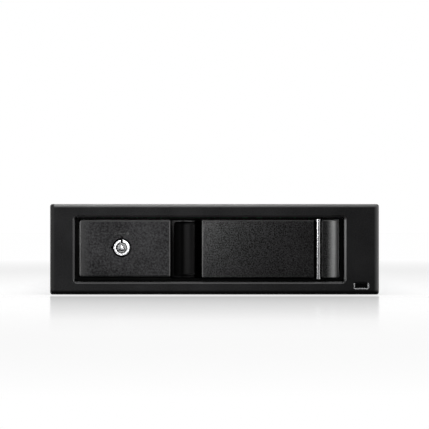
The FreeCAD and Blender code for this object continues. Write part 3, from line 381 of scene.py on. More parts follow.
@dataclass(frozen=True)
class MouldedPlastic:
    """Moulded plastic with a spark-eroded grain.

    Attributes:
        name: the material's name.
        colour: base colour.
        roughness: mean roughness.
        gloss: specular level.
        grain_mm: size of the grain.
        grain_depth_mm: depth of the grain.
        mottle: how much the tone varies.
        polish: gloss of what doesn't face the front, such as bevels and rounds.
        node: the CAD node that the painted rims and the painted shades belong to.
        painted_rims: borders painted lighter as highlights or darker as shade.
        shades: stretches painted dark as shade.
        sparkle: gloss of the grain's tips.
        tip_roughness: roughness of the tips and of the polished edges.
        patch_mm: size of the patches in which tone and roughness drift.
        patch_share: their share in the tone; the grain has the rest.
        drift: how far the patches and the grain move the roughness.
        tones: the ramp from the darker to the lighter tone.
        tips: the ramp that picks the grain's tips.
        turned: the ramp from faces that look ahead to those that turn away.
        level: the ramp from faces that look down, over upright ones, to those that look up.
        shade_tone: tone of the painted shade in those stretches.
    """

    name: str
    colour: Colour
    roughness: float
    gloss: float = 0.3
    grain_mm: float = 0.35
    grain_depth_mm: float = 0.01
    mottle: float = 0.25
    polish: float = 0.0
    node: str = ""
    painted_rims: tuple[PaintedRim, ...] = ()
    shades: tuple[Shade, ...] = ()
    sparkle: float = 0.0
    tip_roughness: float = 0.22
    patch_mm: float = 14.0
    patch_share: float = 0.3
    drift: tuple[float, float] = (0.08, 0.06)
    tones: Stops = ((0.35, 0.0), (0.65, 1.0))
    tips: Stops = ((0.36, 0.0), (0.64, 1.0))
    turned: Stops = ((0.004, 0.0), (0.06, 1.0))
    level: Stops = ((0.25, 0.0), (0.4, 1.0), (0.6, 1.0), (0.8, 0.45))
    shade_tone: float = 0.0002

    def build(self) -> bpy.types.Material:
        """Build the material.

        Returns:
            The finished material.
        """
        recipe = Recipe(bpy.data.materials.new(self.name))
        here = recipe.place()
        grain = recipe.noise(here, self.grain_mm, detail=4.0, roughness=0.6)
        patches = recipe.noise(here, self.patch_mm, detail=2.0)
        lighter = scaled(self.colour, 1.0 + self.mottle, lift=0.002)
        darker = scaled(self.colour, 1.0 - self.mottle)
        mixed = grain * (1.0 - self.patch_share) + patches * self.patch_share
        tone = recipe.ramp(mixed, self.tones)
        by_patches, by_grain = self.drift
        smoothest = self.roughness - sum(self.drift) / 2
        rough = patches * by_patches + grain * by_grain + smoothest
        colour = recipe.blend(tone, darker, lighter)
        # The painted rims paint highlights and shade along the edges into the colour.
        for rim in self.painted_rims:
            colour = rim.over(recipe, colour, self.node)
        lit = [shade.outside_shade(recipe, self.node) for shade in self.shades]
        # The shades paint the colour dark as shade inside their stretches.
        for part in lit:
            colour = recipe.blend(part, grey(self.shade_tone), colour)
        inputs = {
            "Base Color": colour,
            "Roughness": rough,
            "Specular IOR Level": self.gloss,
            "Normal": recipe.bump(grain, self.grain_depth_mm),
        }
        if self.polish:
            gloss = self._polished_edges(recipe) * self.polish
            if self.sparkle:
                gloss = gloss + recipe.ramp(grain, self.tips) * self.sparkle
            for part in lit:
                gloss = gloss * part
            inputs["Coat Weight"] = gloss
            inputs["Coat Roughness"] = self.tip_roughness
        return recipe.surface(inputs)

    def _polished_edges(self, recipe: Recipe) -> Tap:
        """Pick the faces that hands and the mould polish.

        Args:
            recipe: the material's recipe.

        Returns:
            0 on faces that look straight ahead or down, rising to 1 as they turn away.
        """
        facing = recipe.node("ShaderNodeTexCoord", output="Normal")
        ahead = recipe.along("Y", facing)
        upward = recipe.along("Z", facing)
        turned = recipe.ramp(ahead + 1.0, self.turned)
        return turned * recipe.ramp((upward + 1.0) / 2.0, self.level)


@dataclass(frozen=True)
class ScoopGloss:
    """Deep black plastic of the finger hollow, glossy only where fingers polish its bend; its
    base colour is painted lighter along the same band, as a painted highlight.

    Attributes:
        name: the material's name.
        colour: base colour.
        roughness: roughness of the polished bend.
        node: the CAD node of the hollow.
        polish: gloss across the hollow, from its left side to its right one.
        highlight_colour: base colour where the polish is strongest, a painted highlight.
        streak: how far each axis is stretched; a small number lengthens the streaks.
        streak_mm: size of the streaks across it.
        streaking: how much the streaks vary the polish.
        dull: roughness below the polish.
        dull_drift: what the streaks add to it.
        highlight_gain: how fast the painted highlight colour comes in with the polish.
    """

    name: str
    colour: Colour
    roughness: float
    node: str
    polish: Stops
    highlight_colour: Colour = (0.0035, 0.0035, 0.0036)
    streak: tuple[float, float, float] = (1.0, 0.2, 0.2)
    streak_mm: float = 0.8
    streaking: float = 0.6
    dull: float = 0.5
    dull_drift: float = 0.1
    highlight_gain: float = 6.0

    def build(self) -> bpy.types.Material:
        """Build the material.

        Returns:
            The finished material.
        """
        recipe = Recipe(bpy.data.materials.new(self.name))
        here = recipe.along("X", recipe.place())
        low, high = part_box(self.node)
        streaks = recipe.noise(recipe.place(self.streak), self.streak_mm, detail=2.0)
        across = recipe.ramp((here - low.x) / (high.x - low.x), self.polish)
        return recipe.surface({
            # The base colour is painted lighter along the polished band: a painted highlight.
            "Base Color": recipe.blend(across * self.highlight_gain, self.colour, self.highlight_colour),
            "Roughness": streaks * self.dull_drift + self.dull,
            "Specular IOR Level": 0.0,
            "Coat Weight": across * (streaks * self.streaking + (1.0 - self.streaking / 2)),
            "Coat Roughness": self.roughness,
        })


@dataclass(frozen=True)
class SheetMetal:
    """Rolled sheet metal, with streaks along one way and a faint spangle.

    Attributes:
        name: the material's name.
        colour: base colour.
        roughness: mean roughness.
        streak: how far each axis is stretched; a small number lengthens the streaks.
        spangle_mm: size of the zinc's crystals, or 0 for none.
        spangle_share: their share in the tone.
        streak_mm: width of the streaks.
        smudge_mm: size of the smudges.
        dark: share of the colour in its darkest spots.
        light: share of the colour in its lightest spots.
        tones: the ramp from the darkest to the lightest spots.
        drift: how far the tone moves the roughness.
        depth_mm: depth of the streaks.
    """

    name: str
    colour: Colour
    roughness: float
    streak: tuple[float, float, float] = (1.0, 0.04, 1.0)
    spangle_mm: float = 0.0
    spangle_share: float = 0.3
    streak_mm: float = 0.5
    smudge_mm: float = 22.0
    dark: float = 0.82
    light: float = 1.08
    tones: Stops = ((0.3, 0.0), (0.7, 1.0))
    drift: float = 0.18
    depth_mm: float = 0.004

    def build(self) -> bpy.types.Material:
        """Build the material.

        Returns:
            The finished material.
        """
        recipe = Recipe(bpy.data.materials.new(self.name))
        streaks = recipe.noise(recipe.place(self.streak), self.streak_mm, roughness=0.65)
        smudges = recipe.noise(recipe.place(), self.smudge_mm)
        tone = streaks * 0.5 + smudges * 0.5
        if self.spangle_mm:
            cells = recipe.node("ShaderNodeTexVoronoi", {}, {
                "Vector": recipe.place(), "Scale": 1.0 / (self.spangle_mm * MM),
            }, "Color")
            spangle = recipe.node("ShaderNodeRGBToBW", {}, {"Color": cells})
            tone = tone * (1.0 - self.spangle_share) + spangle * self.spangle_share
        share = recipe.ramp(tone, self.tones)
        return recipe.surface({
            "Base Color": recipe.blend(share, scaled(self.colour, self.dark),
                                       scaled(self.colour, self.light)),
            "Metallic": 1.0,
            "Roughness": tone * self.drift + (self.roughness - self.drift / 2),
            "Normal": recipe.bump(streaks, self.depth_mm),
        })


@dataclass(frozen=True)
class TurnedMetal:
    """Turned or ground metal, with fine rings or lines from the tool.

    Attributes:
        name: the material's name.
        colour: base colour.
        roughness: mean roughness.
        line_mm: spacing of the tool's lines.
        stretch: how far each axis is stretched.
        depth_mm: depth of the lines.
        smudge_mm: size of the smudges.
        dark: share of the colour in its darkest spots.
        drift: how far the lines and the smudges move the roughness.
    """

    name: str
    colour: Colour
    roughness: float
    line_mm: float = 0.2
    stretch: tuple[float, float, float] = (0.2, 1.0, 1.0)
    depth_mm: float = 0.002
    smudge_mm: float = 3.0
    dark: float = 0.9
    drift: tuple[float, float] = (0.1, 0.06)

    def build(self) -> bpy.types.Material:
        """Build the material.

        Returns:
            The finished material.
        """
        recipe = Recipe(bpy.data.materials.new(self.name))
        lines = recipe.noise(recipe.place(self.stretch), self.line_mm, detail=2.0)
        smudges = recipe.noise(recipe.place(), self.smudge_mm, detail=2.0)
        by_lines, by_smudges = self.drift
        smoothest = self.roughness - sum(self.drift) / 2
        return recipe.surface({
            "Base Color": recipe.blend(smudges, scaled(self.colour, self.dark), self.colour),
            "Metallic": 1.0,
            "Roughness": lines * by_lines + smudges * by_smudges + smoothest,
            "Normal": recipe.bump(lines, self.depth_mm),
        })


@dataclass(frozen=True)
class CircuitLacquer:
    """Green lacquered board with copper traces beneath the lacquer.

    Attributes:
        name: the material's name.
        colour: colour of the bare lacquer.
        trace: colour over a trace.
        cell_mm: spacing of the traces.
        scatter: how uneven that spacing is.
        edge: the ramp at a trace's edge.
        roughness: roughness of the bare lacquer.
        trace_roughness: what a trace adds to it.
        gloss: specular level.
        depth_mm: how far a trace stands up.
    """

    name: str
    colour: Colour
    trace: Colour
    cell_mm: float = 2.6
    scatter: float = 0.55
    edge: Stops = ((0.42, 0.0), (0.46, 1.0))
    roughness: float = 0.28
    trace_roughness: float = 0.08
    gloss: float = 0.5
    depth_mm: float = 0.03

    def build(self) -> bpy.types.Material:
        """Build the material.

        Returns:
            The finished material.
        """
        recipe = Recipe(bpy.data.materials.new(self.name))
        here = recipe.place((1.0, 0.0, 1.0))
        cells = recipe.node("ShaderNodeTexVoronoi", {"distance": "CHEBYCHEV", "feature": "F1"}, {
            "Vector": here, "Scale": 1.0 / (self.cell_mm * MM), "Randomness": self.scatter,
        }, "Distance")
        trace = recipe.ramp(cells, self.edge)
        return recipe.surface({
            "Base Color": recipe.blend(trace, self.colour, self.trace),
            "Roughness": trace * self.trace_roughness + self.roughness,
            "Specular IOR Level": self.gloss,
            "Normal": recipe.bump(trace, self.depth_mm),
        })


@dataclass(frozen=True)
class ClearResin:
    """Clear moulded resin with a little haze.

    Attributes:
        name: the material's name.
        colour: tint.
        gloss: specular level.
        roughness: roughness of its clearest spots.
        haze_roughness: what the haze adds to it.
        clearness: share of the light that passes.
        refraction: its refractive index.
        haze_mm: size of the hazy spots.
        depth_mm: how uneven its surface is.
    """

    name: str
    colour: Colour
    gloss: float
    roughness: float = 0.04
    haze_roughness: float = 0.12
    clearness: float = 0.85
    refraction: float = 1.49
    haze_mm: float = 4.0
    depth_mm: float = 0.01

    def build(self) -> bpy.types.Material:
        """Build the material.

        Returns:
            The finished material.
        """
        recipe = Recipe(bpy.data.materials.new(self.name))
        haze = recipe.noise(recipe.place(), self.haze_mm, detail=2.0)
        return recipe.surface({
            "Base Color": (*self.colour, 1.0),
            "Roughness": haze * self.haze_roughness + self.roughness,
            "Transmission Weight": self.clearness,
            "Specular IOR Level": self.gloss,
            "IOR": self.refraction,
            "Normal": recipe.bump(haze, self.depth_mm),
        })


def finishes() -> dict[str, bpy.types.Material]:
    """Build every finish.

    Returns:
        The materials by name; each slot of the record has the finish of its own name.
    """
    across_face = (1.0, 0.2, 1.0)
    made = [
        # Painted highlights along the bezel's top, left and right, painted shade along its bottom
        # and on the walls of its opening.
        MouldedPlastic("bezel_plastic", (0.0076, 0.0076, 0.0079), 0.66, gloss=0.015,
                       grain_mm=0.5, grain_depth_mm=0.004, mottle=0.45, polish=1.0,
                       node="front_bezel", painted_rims=(
                           PaintedRim(Side.TOP, width_mm=1.6, level=0.15, full=0.2),
                           PaintedRim(Side.LEFT, width_mm=2.1, level=0.015, full=0.8),
                           PaintedRim(Side.RIGHT, width_mm=2.2, level=0.08, full=0.1),
                           PaintedRim(Side.BOTTOM, width_mm=2.2, level=0.0, full=0.55)),
                       shades=(Shade("Y", place_mm=6.6, half_mm=5.4),)),
        # Painted highlights on the lock plate: lighter towards its left and along its edges.
        MouldedPlastic("fine_grain", (0.0145, 0.0145, 0.015), 0.66, gloss=0.015,
                       grain_mm=0.8, grain_depth_mm=0.03, mottle=0.8, polish=0.8,
                       node="lock_plate", painted_rims=(
                           PaintedRim(Side.LEFT, width_mm=5.0, level=0.03, full=0.0),
                           PaintedRim(Side.TOP, width_mm=1.1, level=0.03),
                           PaintedRim(Side.RIGHT, width_mm=0.8, level=0.03),
                           PaintedRim(Side.LEFT, width_mm=0.7, level=0.05, full=0.6))),
        # Painted highlights on the lever along its top, its left and its heel, painted shade
        # round the pin's groove.
        MouldedPlastic("lever_grain", (0.0012, 0.0012, 0.0013), 0.6, gloss=0.0,
                       grain_mm=0.5, grain_depth_mm=0.04, mottle=0.95, polish=0.8,
                       node="lever_handle", painted_rims=(
                           PaintedRim(Side.TOP, width_mm=0.8, level=0.02),
                           PaintedRim(Side.LEFT, width_mm=0.7, level=0.03),
                           PaintedRim(Side.RIGHT, width_mm=3.2, level=0.055, full=0.5)),
                       shades=(Shade("X", place_mm=52.55, half_mm=1.85),),
                       sparkle=0.42, tip_roughness=0.34),
        ScoopGloss("scoop_gloss", (0.0001, 0.0001, 0.0001), 0.16, "finger_scoop",
                   polish=((0.0, 0.0), (0.06, 0.04), (0.17, 0.12), (0.21, 0.04), (0.29, 0.1),
                           (0.36, 0.16), (0.43, 0.12), (0.46, 0.0))),
        # Near-black film for the painted shade in the lock: beside the mark, in the key's slot
        # and in the notch.
        MouldedPlastic("notch_black", (0.0003, 0.0003, 0.0003), 0.6, gloss=0.02,
                       grain_mm=0.4, grain_depth_mm=0.004, mottle=0.1),
        MouldedPlastic("faint_print", (0.034, 0.034, 0.034), 0.6, gloss=0.04,
                       grain_mm=0.5, grain_depth_mm=0.002, mottle=0.6),
        # Light grey for the bead round the light window, a painted highlight along its edge.
        MouldedPlastic("window_lip", (0.2, 0.2, 0.203), 0.4, gloss=0.2,
                       grain_mm=0.4, grain_depth_mm=0.002, mottle=0.1),
        MouldedPlastic("tray_plastic", (0.0002, 0.0002, 0.0002), 0.6, gloss=0.005,
                       grain_mm=0.4, grain_depth_mm=0.006, mottle=0.2),
        MouldedPlastic("connector_black", (0.02, 0.02, 0.022), 0.45, gloss=0.4,
                       grain_mm=0.3, grain_depth_mm=0.008, mottle=0.2),
        MouldedPlastic("port_white", (0.72, 0.7, 0.64), 0.45, gloss=0.4,
                       grain_mm=0.3, grain_depth_mm=0.008, mottle=0.08),
        MouldedPlastic("rail_plastic", (0.05, 0.05, 0.055), 0.5, gloss=0.35,
                       grain_mm=0.5, grain_depth_mm=0.012, mottle=0.2),
        MouldedPlastic("runner_nylon", (0.62, 0.61, 0.56), 0.42, gloss=0.4,
                       grain_mm=0.8, grain_depth_mm=0.006, mottle=0.06),
        MouldedPlastic("sheet_film", (0.04, 0.04, 0.045), 0.3, gloss=0.45,
                       grain_mm=2.0, grain_depth_mm=0.01, mottle=0.2),
        MouldedPlastic("lamp_lens", (0.7, 0.74, 0.76), 0.15, gloss=0.5,
                       grain_mm=1.0, grain_depth_mm=0.002, mottle=0.05),
        SheetMetal("zinc_steel", (0.58, 0.59, 0.6), 0.36, (1.0, 0.05, 1.0), spangle_mm=3.0),
        SheetMetal("pan_aluminium", (0.68, 0.69, 0.7), 0.34, (1.0, 0.03, 1.0)),
        SheetMetal("spring_steel", (0.5, 0.5, 0.51), 0.3, (0.1, 1.0, 1.0)),
        SheetMetal("capacitor_can", (0.6, 0.6, 0.62), 0.3, (1.0, 1.0, 0.2)),
        TurnedMetal("screw_steel", (0.6, 0.6, 0.61), 0.28),
        TurnedMetal("post_brass", (0.75, 0.58, 0.28), 0.25),
        TurnedMetal("contact_brass", (0.85, 0.66, 0.3), 0.2),
        TurnedMetal("pin_steel", (0.16, 0.16, 0.163), 0.26, line_mm=0.15,
                    stretch=(1.0, 1.0, 0.15), depth_mm=0.0003),
        TurnedMetal("lock_chrome", (0.17, 0.17, 0.173), 0.3, line_mm=0.1, stretch=across_face),
        TurnedMetal("mark_steel", (0.1, 0.1, 0.102), 0.3, line_mm=0.1, stretch=across_face),
        TurnedMetal("lock_core", (0.06, 0.06, 0.06), 0.45, line_mm=0.12, stretch=across_face),
        CircuitLacquer("board_green", (0.012, 0.09, 0.04), trace=(0.03, 0.2, 0.08)),
        # The light pipe's resin is tinted nearly black and lets little light through: painted
        # shade for the dark inside of the light window.
        ClearResin("clear_pipe", (0.0005, 0.0005, 0.0006), gloss=0.01, clearness=0.04),
    ]
    return {finish.name: finish.build() for finish in made}


# ------------------------------------------------------------------ mesh helpers
def middle(low: Vector, high: Vector) -> Spot:
    """Return the middle of the box between two corners."""
    return (low.x + high.x) / 2, (low.y + high.y) / 2, (low.z + high.z) / 2


def placed(name: str, data: bpy.types.ID) -> bpy.types.Object:
    """Add an object that holds some data to the scene.

    Args:
        name: the object's name.
        data: a mesh, a lamp or a camera.

    Returns:
        The object.
    """
    made = bpy.data.objects.new(name, data)
    bpy.context.scene.collection.objects.link(made)
    return made


def meshed(name: str, mesh: bmesh.types.BMesh) -> bpy.types.Object:
    """Add an object that holds a mesh to the scene.

    Args:
        name: the object's name.
        mesh: its mesh, which is used up.

    Returns:
        The object.
    """
    data = bpy.data.meshes.new(name)
    mesh.to_mesh(data)
    mesh.free()
    return placed(name, data)


def islands(node: str) -> list[tuple[Vector, Vector]]:
    """Find the separate solids of a CAD node.

    Args:
        node: the node's name.

    Returns:
        The lowest and highest corner of each.
    """
    mesh = bmesh.new()
    mesh.from_mesh(frame["nodes"][node].data)
    bmesh.ops.remove_doubles(mesh, verts=mesh.verts, dist=SAME_PLACE)
    seen: set[int] = set()
    boxes = []
    for start in mesh.verts:
        if start.index in seen:
            continue
        group = []
        waiting = [start]
        seen.add(start.index)
        while waiting:
            here = waiting.pop()
            group.append(here.co.copy())
            for edge in here.link_edges:
                other = edge.other_vert(here)
                if other.index not in seen:
                    seen.add(other.index)
                    waiting.append(other)
        low = Vector([min(spot[axis] for spot in group) for axis in range(3)])
        high = Vector([max(spot[axis] for spot in group) for axis in range(3)])
        boxes.append((low, high))
    mesh.free()
    return boxes


def lathe(mesh: bmesh.types.BMesh, profile: Sequence[tuple[float, float]], place: Matrix,
          steps: int = 32) -> None:
    """Turn a profile about the local Z axis and add it to a mesh.

    Args:
        mesh: the mesh to add to.
        profile: pairs of radius and height, in metres.
        place: where the turned piece goes.
        steps: how many facets it has round its axis.
    """
    rings = []
    for radius, height in profile:
        if not radius:
            rings.append([mesh.verts.new(place @ Vector((0, 0, height)))])
            continue
        ring = []
        for step in range(steps):
            turn = 2 * math.pi * step / steps
            spot = Vector((radius * math.cos(turn), radius * math.sin(turn), height))
            ring.append(mesh.verts.new(place @ spot))
        rings.append(ring)
    for first, second in zip(rings, rings[1:]):
        for step in range(steps):
            after = (step + 1) % steps
            if len(first) == 1:
                mesh.faces.new((first[0], second[step], second[after]))
            elif len(second) == 1:
                mesh.faces.new((first[step], second[0], first[after]))
            else:
                mesh.faces.new((first[step], second[step], second[after], first[after]))


def finished(name: str, mesh: bmesh.types.BMesh, material: bpy.types.Material, body: Body,
             sharp_degrees: float = 35.0) -> bpy.types.Object:
    """Turn a mesh into a piece of the object.

    Args:
        name: the piece's name.
        mesh: its mesh, which is used up.
        material: its finish.
        body: the body that it rides on.
        sharp_degrees: edges that turn by more than this stay sharp.

    Returns:
        The piece.
    """
    bmesh.ops.recalc_face_normals(mesh, faces=mesh.faces)
    for face in mesh.faces:
        face.smooth = True
    for edge in mesh.edges:
        if len(edge.link_faces) == 2 and edge.calc_face_angle(0.0) > math.radians(sharp_degrees):
            edge.smooth = False
    piece = meshed(name, mesh)
    piece.data.materials.append(material)
    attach(piece, body.value)
    log.info("piece %s on %s", name, body.value)
    return piece


def bead(path: Sequence[Sequence[float]], radius: float) -> bmesh.types.BMesh:
    """Draw a round bead along a path.

    Args:
        path: the points of its middle line.
        radius: its radius.

    Returns:
        Its mesh, with closed ends.
    """
    curve = bpy.data.curves.new("bead", "CURVE")
    curve.dimensions = "3D"
    curve.bevel_depth = radius
    curve.bevel_resolution = 3
    curve.use_fill_caps = True
    spline = curve.splines.new("POLY")
    spline.points.add(len(path) - 1)
    for point, spot in zip(spline.points, path):
        point.co = (*spot, 1.0)
    holder = bpy.data.objects.new("bead", curve)
    data = bpy.data.meshes.new_from_object(holder)
    mesh = bmesh.new()
    mesh.from_mesh(data)
    bpy.data.objects.remove(holder)
    bpy.data.meshes.remove(data)
    bpy.data.curves.remove(curve)
    return mesh


def raised(outline: Sequence[tuple[float, float]], front: float, back: float,
           bevel: float = 0.0) -> bmesh.types.BMesh:
    """Raise a flat outline towards the front.

    Args:
        outline: its corners, as X and Z.
        front: Y of its face.
        back: Y of its foot.
        bevel: width of the bevel round its face.

    Returns:
        Its mesh.
    """
    mesh = bmesh.new()
    foot = [mesh.verts.new((x, back, z)) for x, z in outline]
    face = [mesh.verts.new((x, front, z)) for x, z in outline]
    mesh.faces.new(foot)
    top = mesh.faces.new(face)
    for index in range(len(outline)):
        after = (index + 1) % len(outline)
        mesh.faces.new((foot[index], foot[after], face[after], face[index]))
    if bevel:
        bmesh.ops.bevel(mesh, geom=list(top.edges), offset=bevel, segments=2, profile=0.5,
                        affect="EDGES")
    return mesh


# ------------------------------------------------------------------ sub-assemblies
@dataclass
class CadFinishes:
    """The nodes of the frame that keep their shape and get a finish.

    Attributes:
        materials: the finishes by name.
        rounded: nodes whose edges get a small round, with its width in millimetres.
        flat_degrees: facets that turn by less than this count as one face.
        bend_degrees: edges that turn by more than this are rounded.
        evenness: how strongly large faces lead the shading.
    """

    materials: dict[str, bpy.types.Material]
    rounded: dict[str, float] = field(default_factory=lambda: {
        "lock_plate": 0.25, "lever_handle": 0.25, "tray_front": 0.2,
        "front_bezel": 0.15, "pivot_pin": 0.1, "guide_rail_left": 0.3, "guide_rail_right": 0.3,
        "power_port": 0.15, "data_port": 0.15, "drive_connector": 0.15,
    })
    flat_degrees: float = 0.5
    bend_degrees: float = 50.0
    evenness: int = 80

    def dress(self) -> None:
        """Give every node the finish of its slot, and soften the edges of the rounded nodes."""
        for part in frame["record"]["subparts"]:
            node = frame["nodes"][part["node"]]
            material = self.materials[part["material_slot"]]
            node.data.materials.clear()
            node.data.materials.append(material)
            log.info("node %s in %s", part["node"], material.name)
        for name, width in self.rounded.items():
            self.soften(frame["nodes"][name], width)

    def soften(self, node: bpy.types.Object, width_mm: float) -> None:
        """Round a node's sharp edges with modifiers.

        Args:
            node: the node.
            width_mm: the width of the round.
        """
        weld = node.modifiers.new("weld", "WELD")
        weld.merge_threshold = SAME_PLACE
        flat = node.modifiers.new("flat", "DECIMATE")
        flat.decimate_type = "DISSOLVE"
        flat.angle_limit = math.radians(self.flat_degrees)
        round_edges = node.modifiers.new("round", "BEVEL")
        round_edges.width = width_mm * MM
        round_edges.segments = 2
        round_edges.limit_method = "ANGLE"
        round_edges.angle_limit = math.radians(self.bend_degrees)
        round_edges.harden_normals = True
        round_edges.use_clamp_overlap = True
        even = node.modifiers.new("even", "WEIGHTED_NORMAL")
        even.keep_sharp = True
        even.weight = self.evenness


@dataclass
class ScrewHeads:
    """Screws with a cross recess, at the places of the screws of a node.

    Attributes:
        node: the CAD node that they replace.
        body: the body that they ride on.
        head_mm: diameter of the head.
        height_mm: height of a pan head, or 0 for a flat one.
        shank_mm: diameter of the shank.
        recess_mm: span of the cross recess.
        recess_width_mm: width of its arms.
        recess_depth_mm: depth of the recess.
        recess_taper: size of the recess at its floor, as a share of its size at its mouth.
        lift_mm: how far the cutter of the recess stands over the head.
        dome: share of a pan head's height that is domed.
        dome_step: degrees between the rings of the dome.
        rim_mm: how far a flat head's rim is broken.
        near_rim: points past this share of the head's radius lie on the head.
        facets: how many facets a screw has round its axis.
    """

    node: str
    body: Body
    head_mm: float
    height_mm: float
    shank_mm: float = 2.9
    recess_mm: float = 2.9
    recess_width_mm: float = 0.75
    recess_depth_mm: float = 0.9
    recess_taper: float = 0.45
    lift_mm: float = 0.3
    dome: float = 0.45
    dome_step: int = 15
    rim_mm: float = 0.15
    near_rim: float = 0.97
    facets: int = 24

    def build(self, material: bpy.types.Material) -> None:
        """Make one piece of all the node's screws, which replaces the node.

        Args:
            material: their finish.
        """
        mesh = bmesh.new()
        for low, high in islands(self.node):
            self._add_screw(mesh, low, high)
        piece = finished(self.node + ".cross", mesh, material, self.body)
        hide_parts(self.node)

    def _add_screw(self, mesh: bmesh.types.BMesh, low: Vector, high: Vector) -> None:
        """Add the screw that fills a box, with its head at the end where the node has one.

        Args:
            mesh: the mesh to add to.
            low: lowest corner of the screw's box.
            high: highest corner.
        """
        size = high - low
        axis = max(range(3), key=lambda index: abs(size[index] - self.head_mm * MM))
        centre = (low + high) / 2
        outward = 1.0 if self._head_is_high(low, high, axis) else -1.0
        tip = centre.copy()
        tip[axis] = high[axis] if outward > 0 else low[axis]
        up = Vector([outward if index == axis else 0.0 for index in range(3)])
        place = Matrix.Translation(tip) @ up.to_track_quat("Z", "Y").to_matrix().to_4x4()
        self._add_head(mesh, place, size[axis])

    def _head_is_high(self, low: Vector, high: Vector, axis: int) -> bool:
        """Find out at which end the head lies, from where the node's widest points are.

        Args:
            low: lowest corner of the screw's box.
            high: highest corner.
            axis: the screw's axis, as 0, 1 or 2.

        Returns:
            Whether it is the high end.
        """
        wide = []
        centre = (low + high) / 2
        for vertex in frame["nodes"][self.node].data.vertices:
            spot = vertex.co
            if all(low[i] - SAME_PLACE <= spot[i] <= high[i] + SAME_PLACE for i in range(3)):
                reach = spot - centre
                reach[axis] = 0.0
                if reach.length > self.head_mm * MM / 2 * self.near_rim:
                    wide.append(spot[axis])
        return sum(wide) / len(wide) > centre[axis]

    def _add_head(self, mesh: bmesh.types.BMesh, place: Matrix, length: float) -> None:
        """Add a head with its recess, and the shank.

        Args:
            mesh: the mesh to add to.
            place: the top of the head, with Z out of it.
            length: length of the whole screw.
        """
        radius = self.head_mm * MM / 2
        shank = self.shank_mm * MM / 2
        height = self.height_mm * MM
        solid = bmesh.new()
        if height:
            turns = [math.radians(turn) for turn in range(0, 90 + 1, self.dome_step)]
            profile = [(radius * math.sin(turn), -height * self.dome * (1 - math.cos(turn)))
                       for turn in turns]
            profile += [(radius, -height), (shank, -height), (shank, -length), (0, -length)]
        else:
            rim = self.rim_mm * MM
            profile = [(0, 0), (radius - rim, 0), (radius, -rim), (shank, -(radius - shank)),
                       (shank, -length), (0, -length)]
        lathe(solid, profile, Matrix.Identity(4), self.facets)
        bmesh.ops.recalc_face_normals(solid, faces=solid.faces)
        cut = subtracted(solid, self._cross_cutter())
        cut.transform(place)
        whole = bpy.data.meshes.new("screw")
        cut.to_mesh(whole)
        mesh.from_mesh(whole)
        bpy.data.meshes.remove(whole)
        cut.free()

    def _cross_cutter(self) -> bmesh.types.BMesh:
        """Shape the tapered cross that is cut out of the head.

        Returns:
            Its mesh.
        """
        half = self.recess_mm * MM / 2
        arm = self.recess_width_mm * MM / 2
        deep = self.recess_depth_mm * MM
        taper = self.recess_taper
        cutter = bmesh.new()
        outline = [(half, -arm), (half, arm), (arm, arm), (arm, half), (-arm, half), (-arm, arm),
                   (-half, arm), (-half, -arm), (-arm, -arm), (-arm, -half), (arm, -half),
                   (arm, -arm)]
        top = [cutter.verts.new((x, y, self.lift_mm * MM)) for x, y in outline]
        bottom = [cutter.verts.new((x * taper, y * taper, -deep)) for x, y in outline]
        cutter.faces.new(top)
        cutter.faces.new(list(reversed(bottom)))
        for index in range(len(outline)):
            after = (index + 1) % len(outline)
            cutter.faces.new((top[index], bottom[index], bottom[after], top[after]))
        bmesh.ops.recalc_face_normals(cutter, faces=cutter.faces)
        return cutter


def subtracted(solid: bmesh.types.BMesh, cutter: bmesh.types.BMesh) -> bmesh.types.BMesh:
    """Cut one mesh out of another.

    Args:
        solid: the mesh that is cut, which is used up.
        cutter: the mesh that is taken away, which is used up.

    Returns:
        What is left.
    """
    body = meshed("solid", solid)
    tool = meshed("cutter", cutter)
    knife = body.modifiers.new("cut", "BOOLEAN")
    knife.object = tool
    knife.operation = "DIFFERENCE"
    knife.solver = "EXACT"
    graph = bpy.context.evaluated_depsgraph_get()
    result = bmesh.new()
    result.from_mesh(body.evaluated_get(graph).to_mesh())
    body.evaluated_get(graph).to_mesh_clear()
    for piece in (body, tool):
        data = piece.data
        bpy.data.objects.remove(piece)
        bpy.data.meshes.remove(data)
    return result


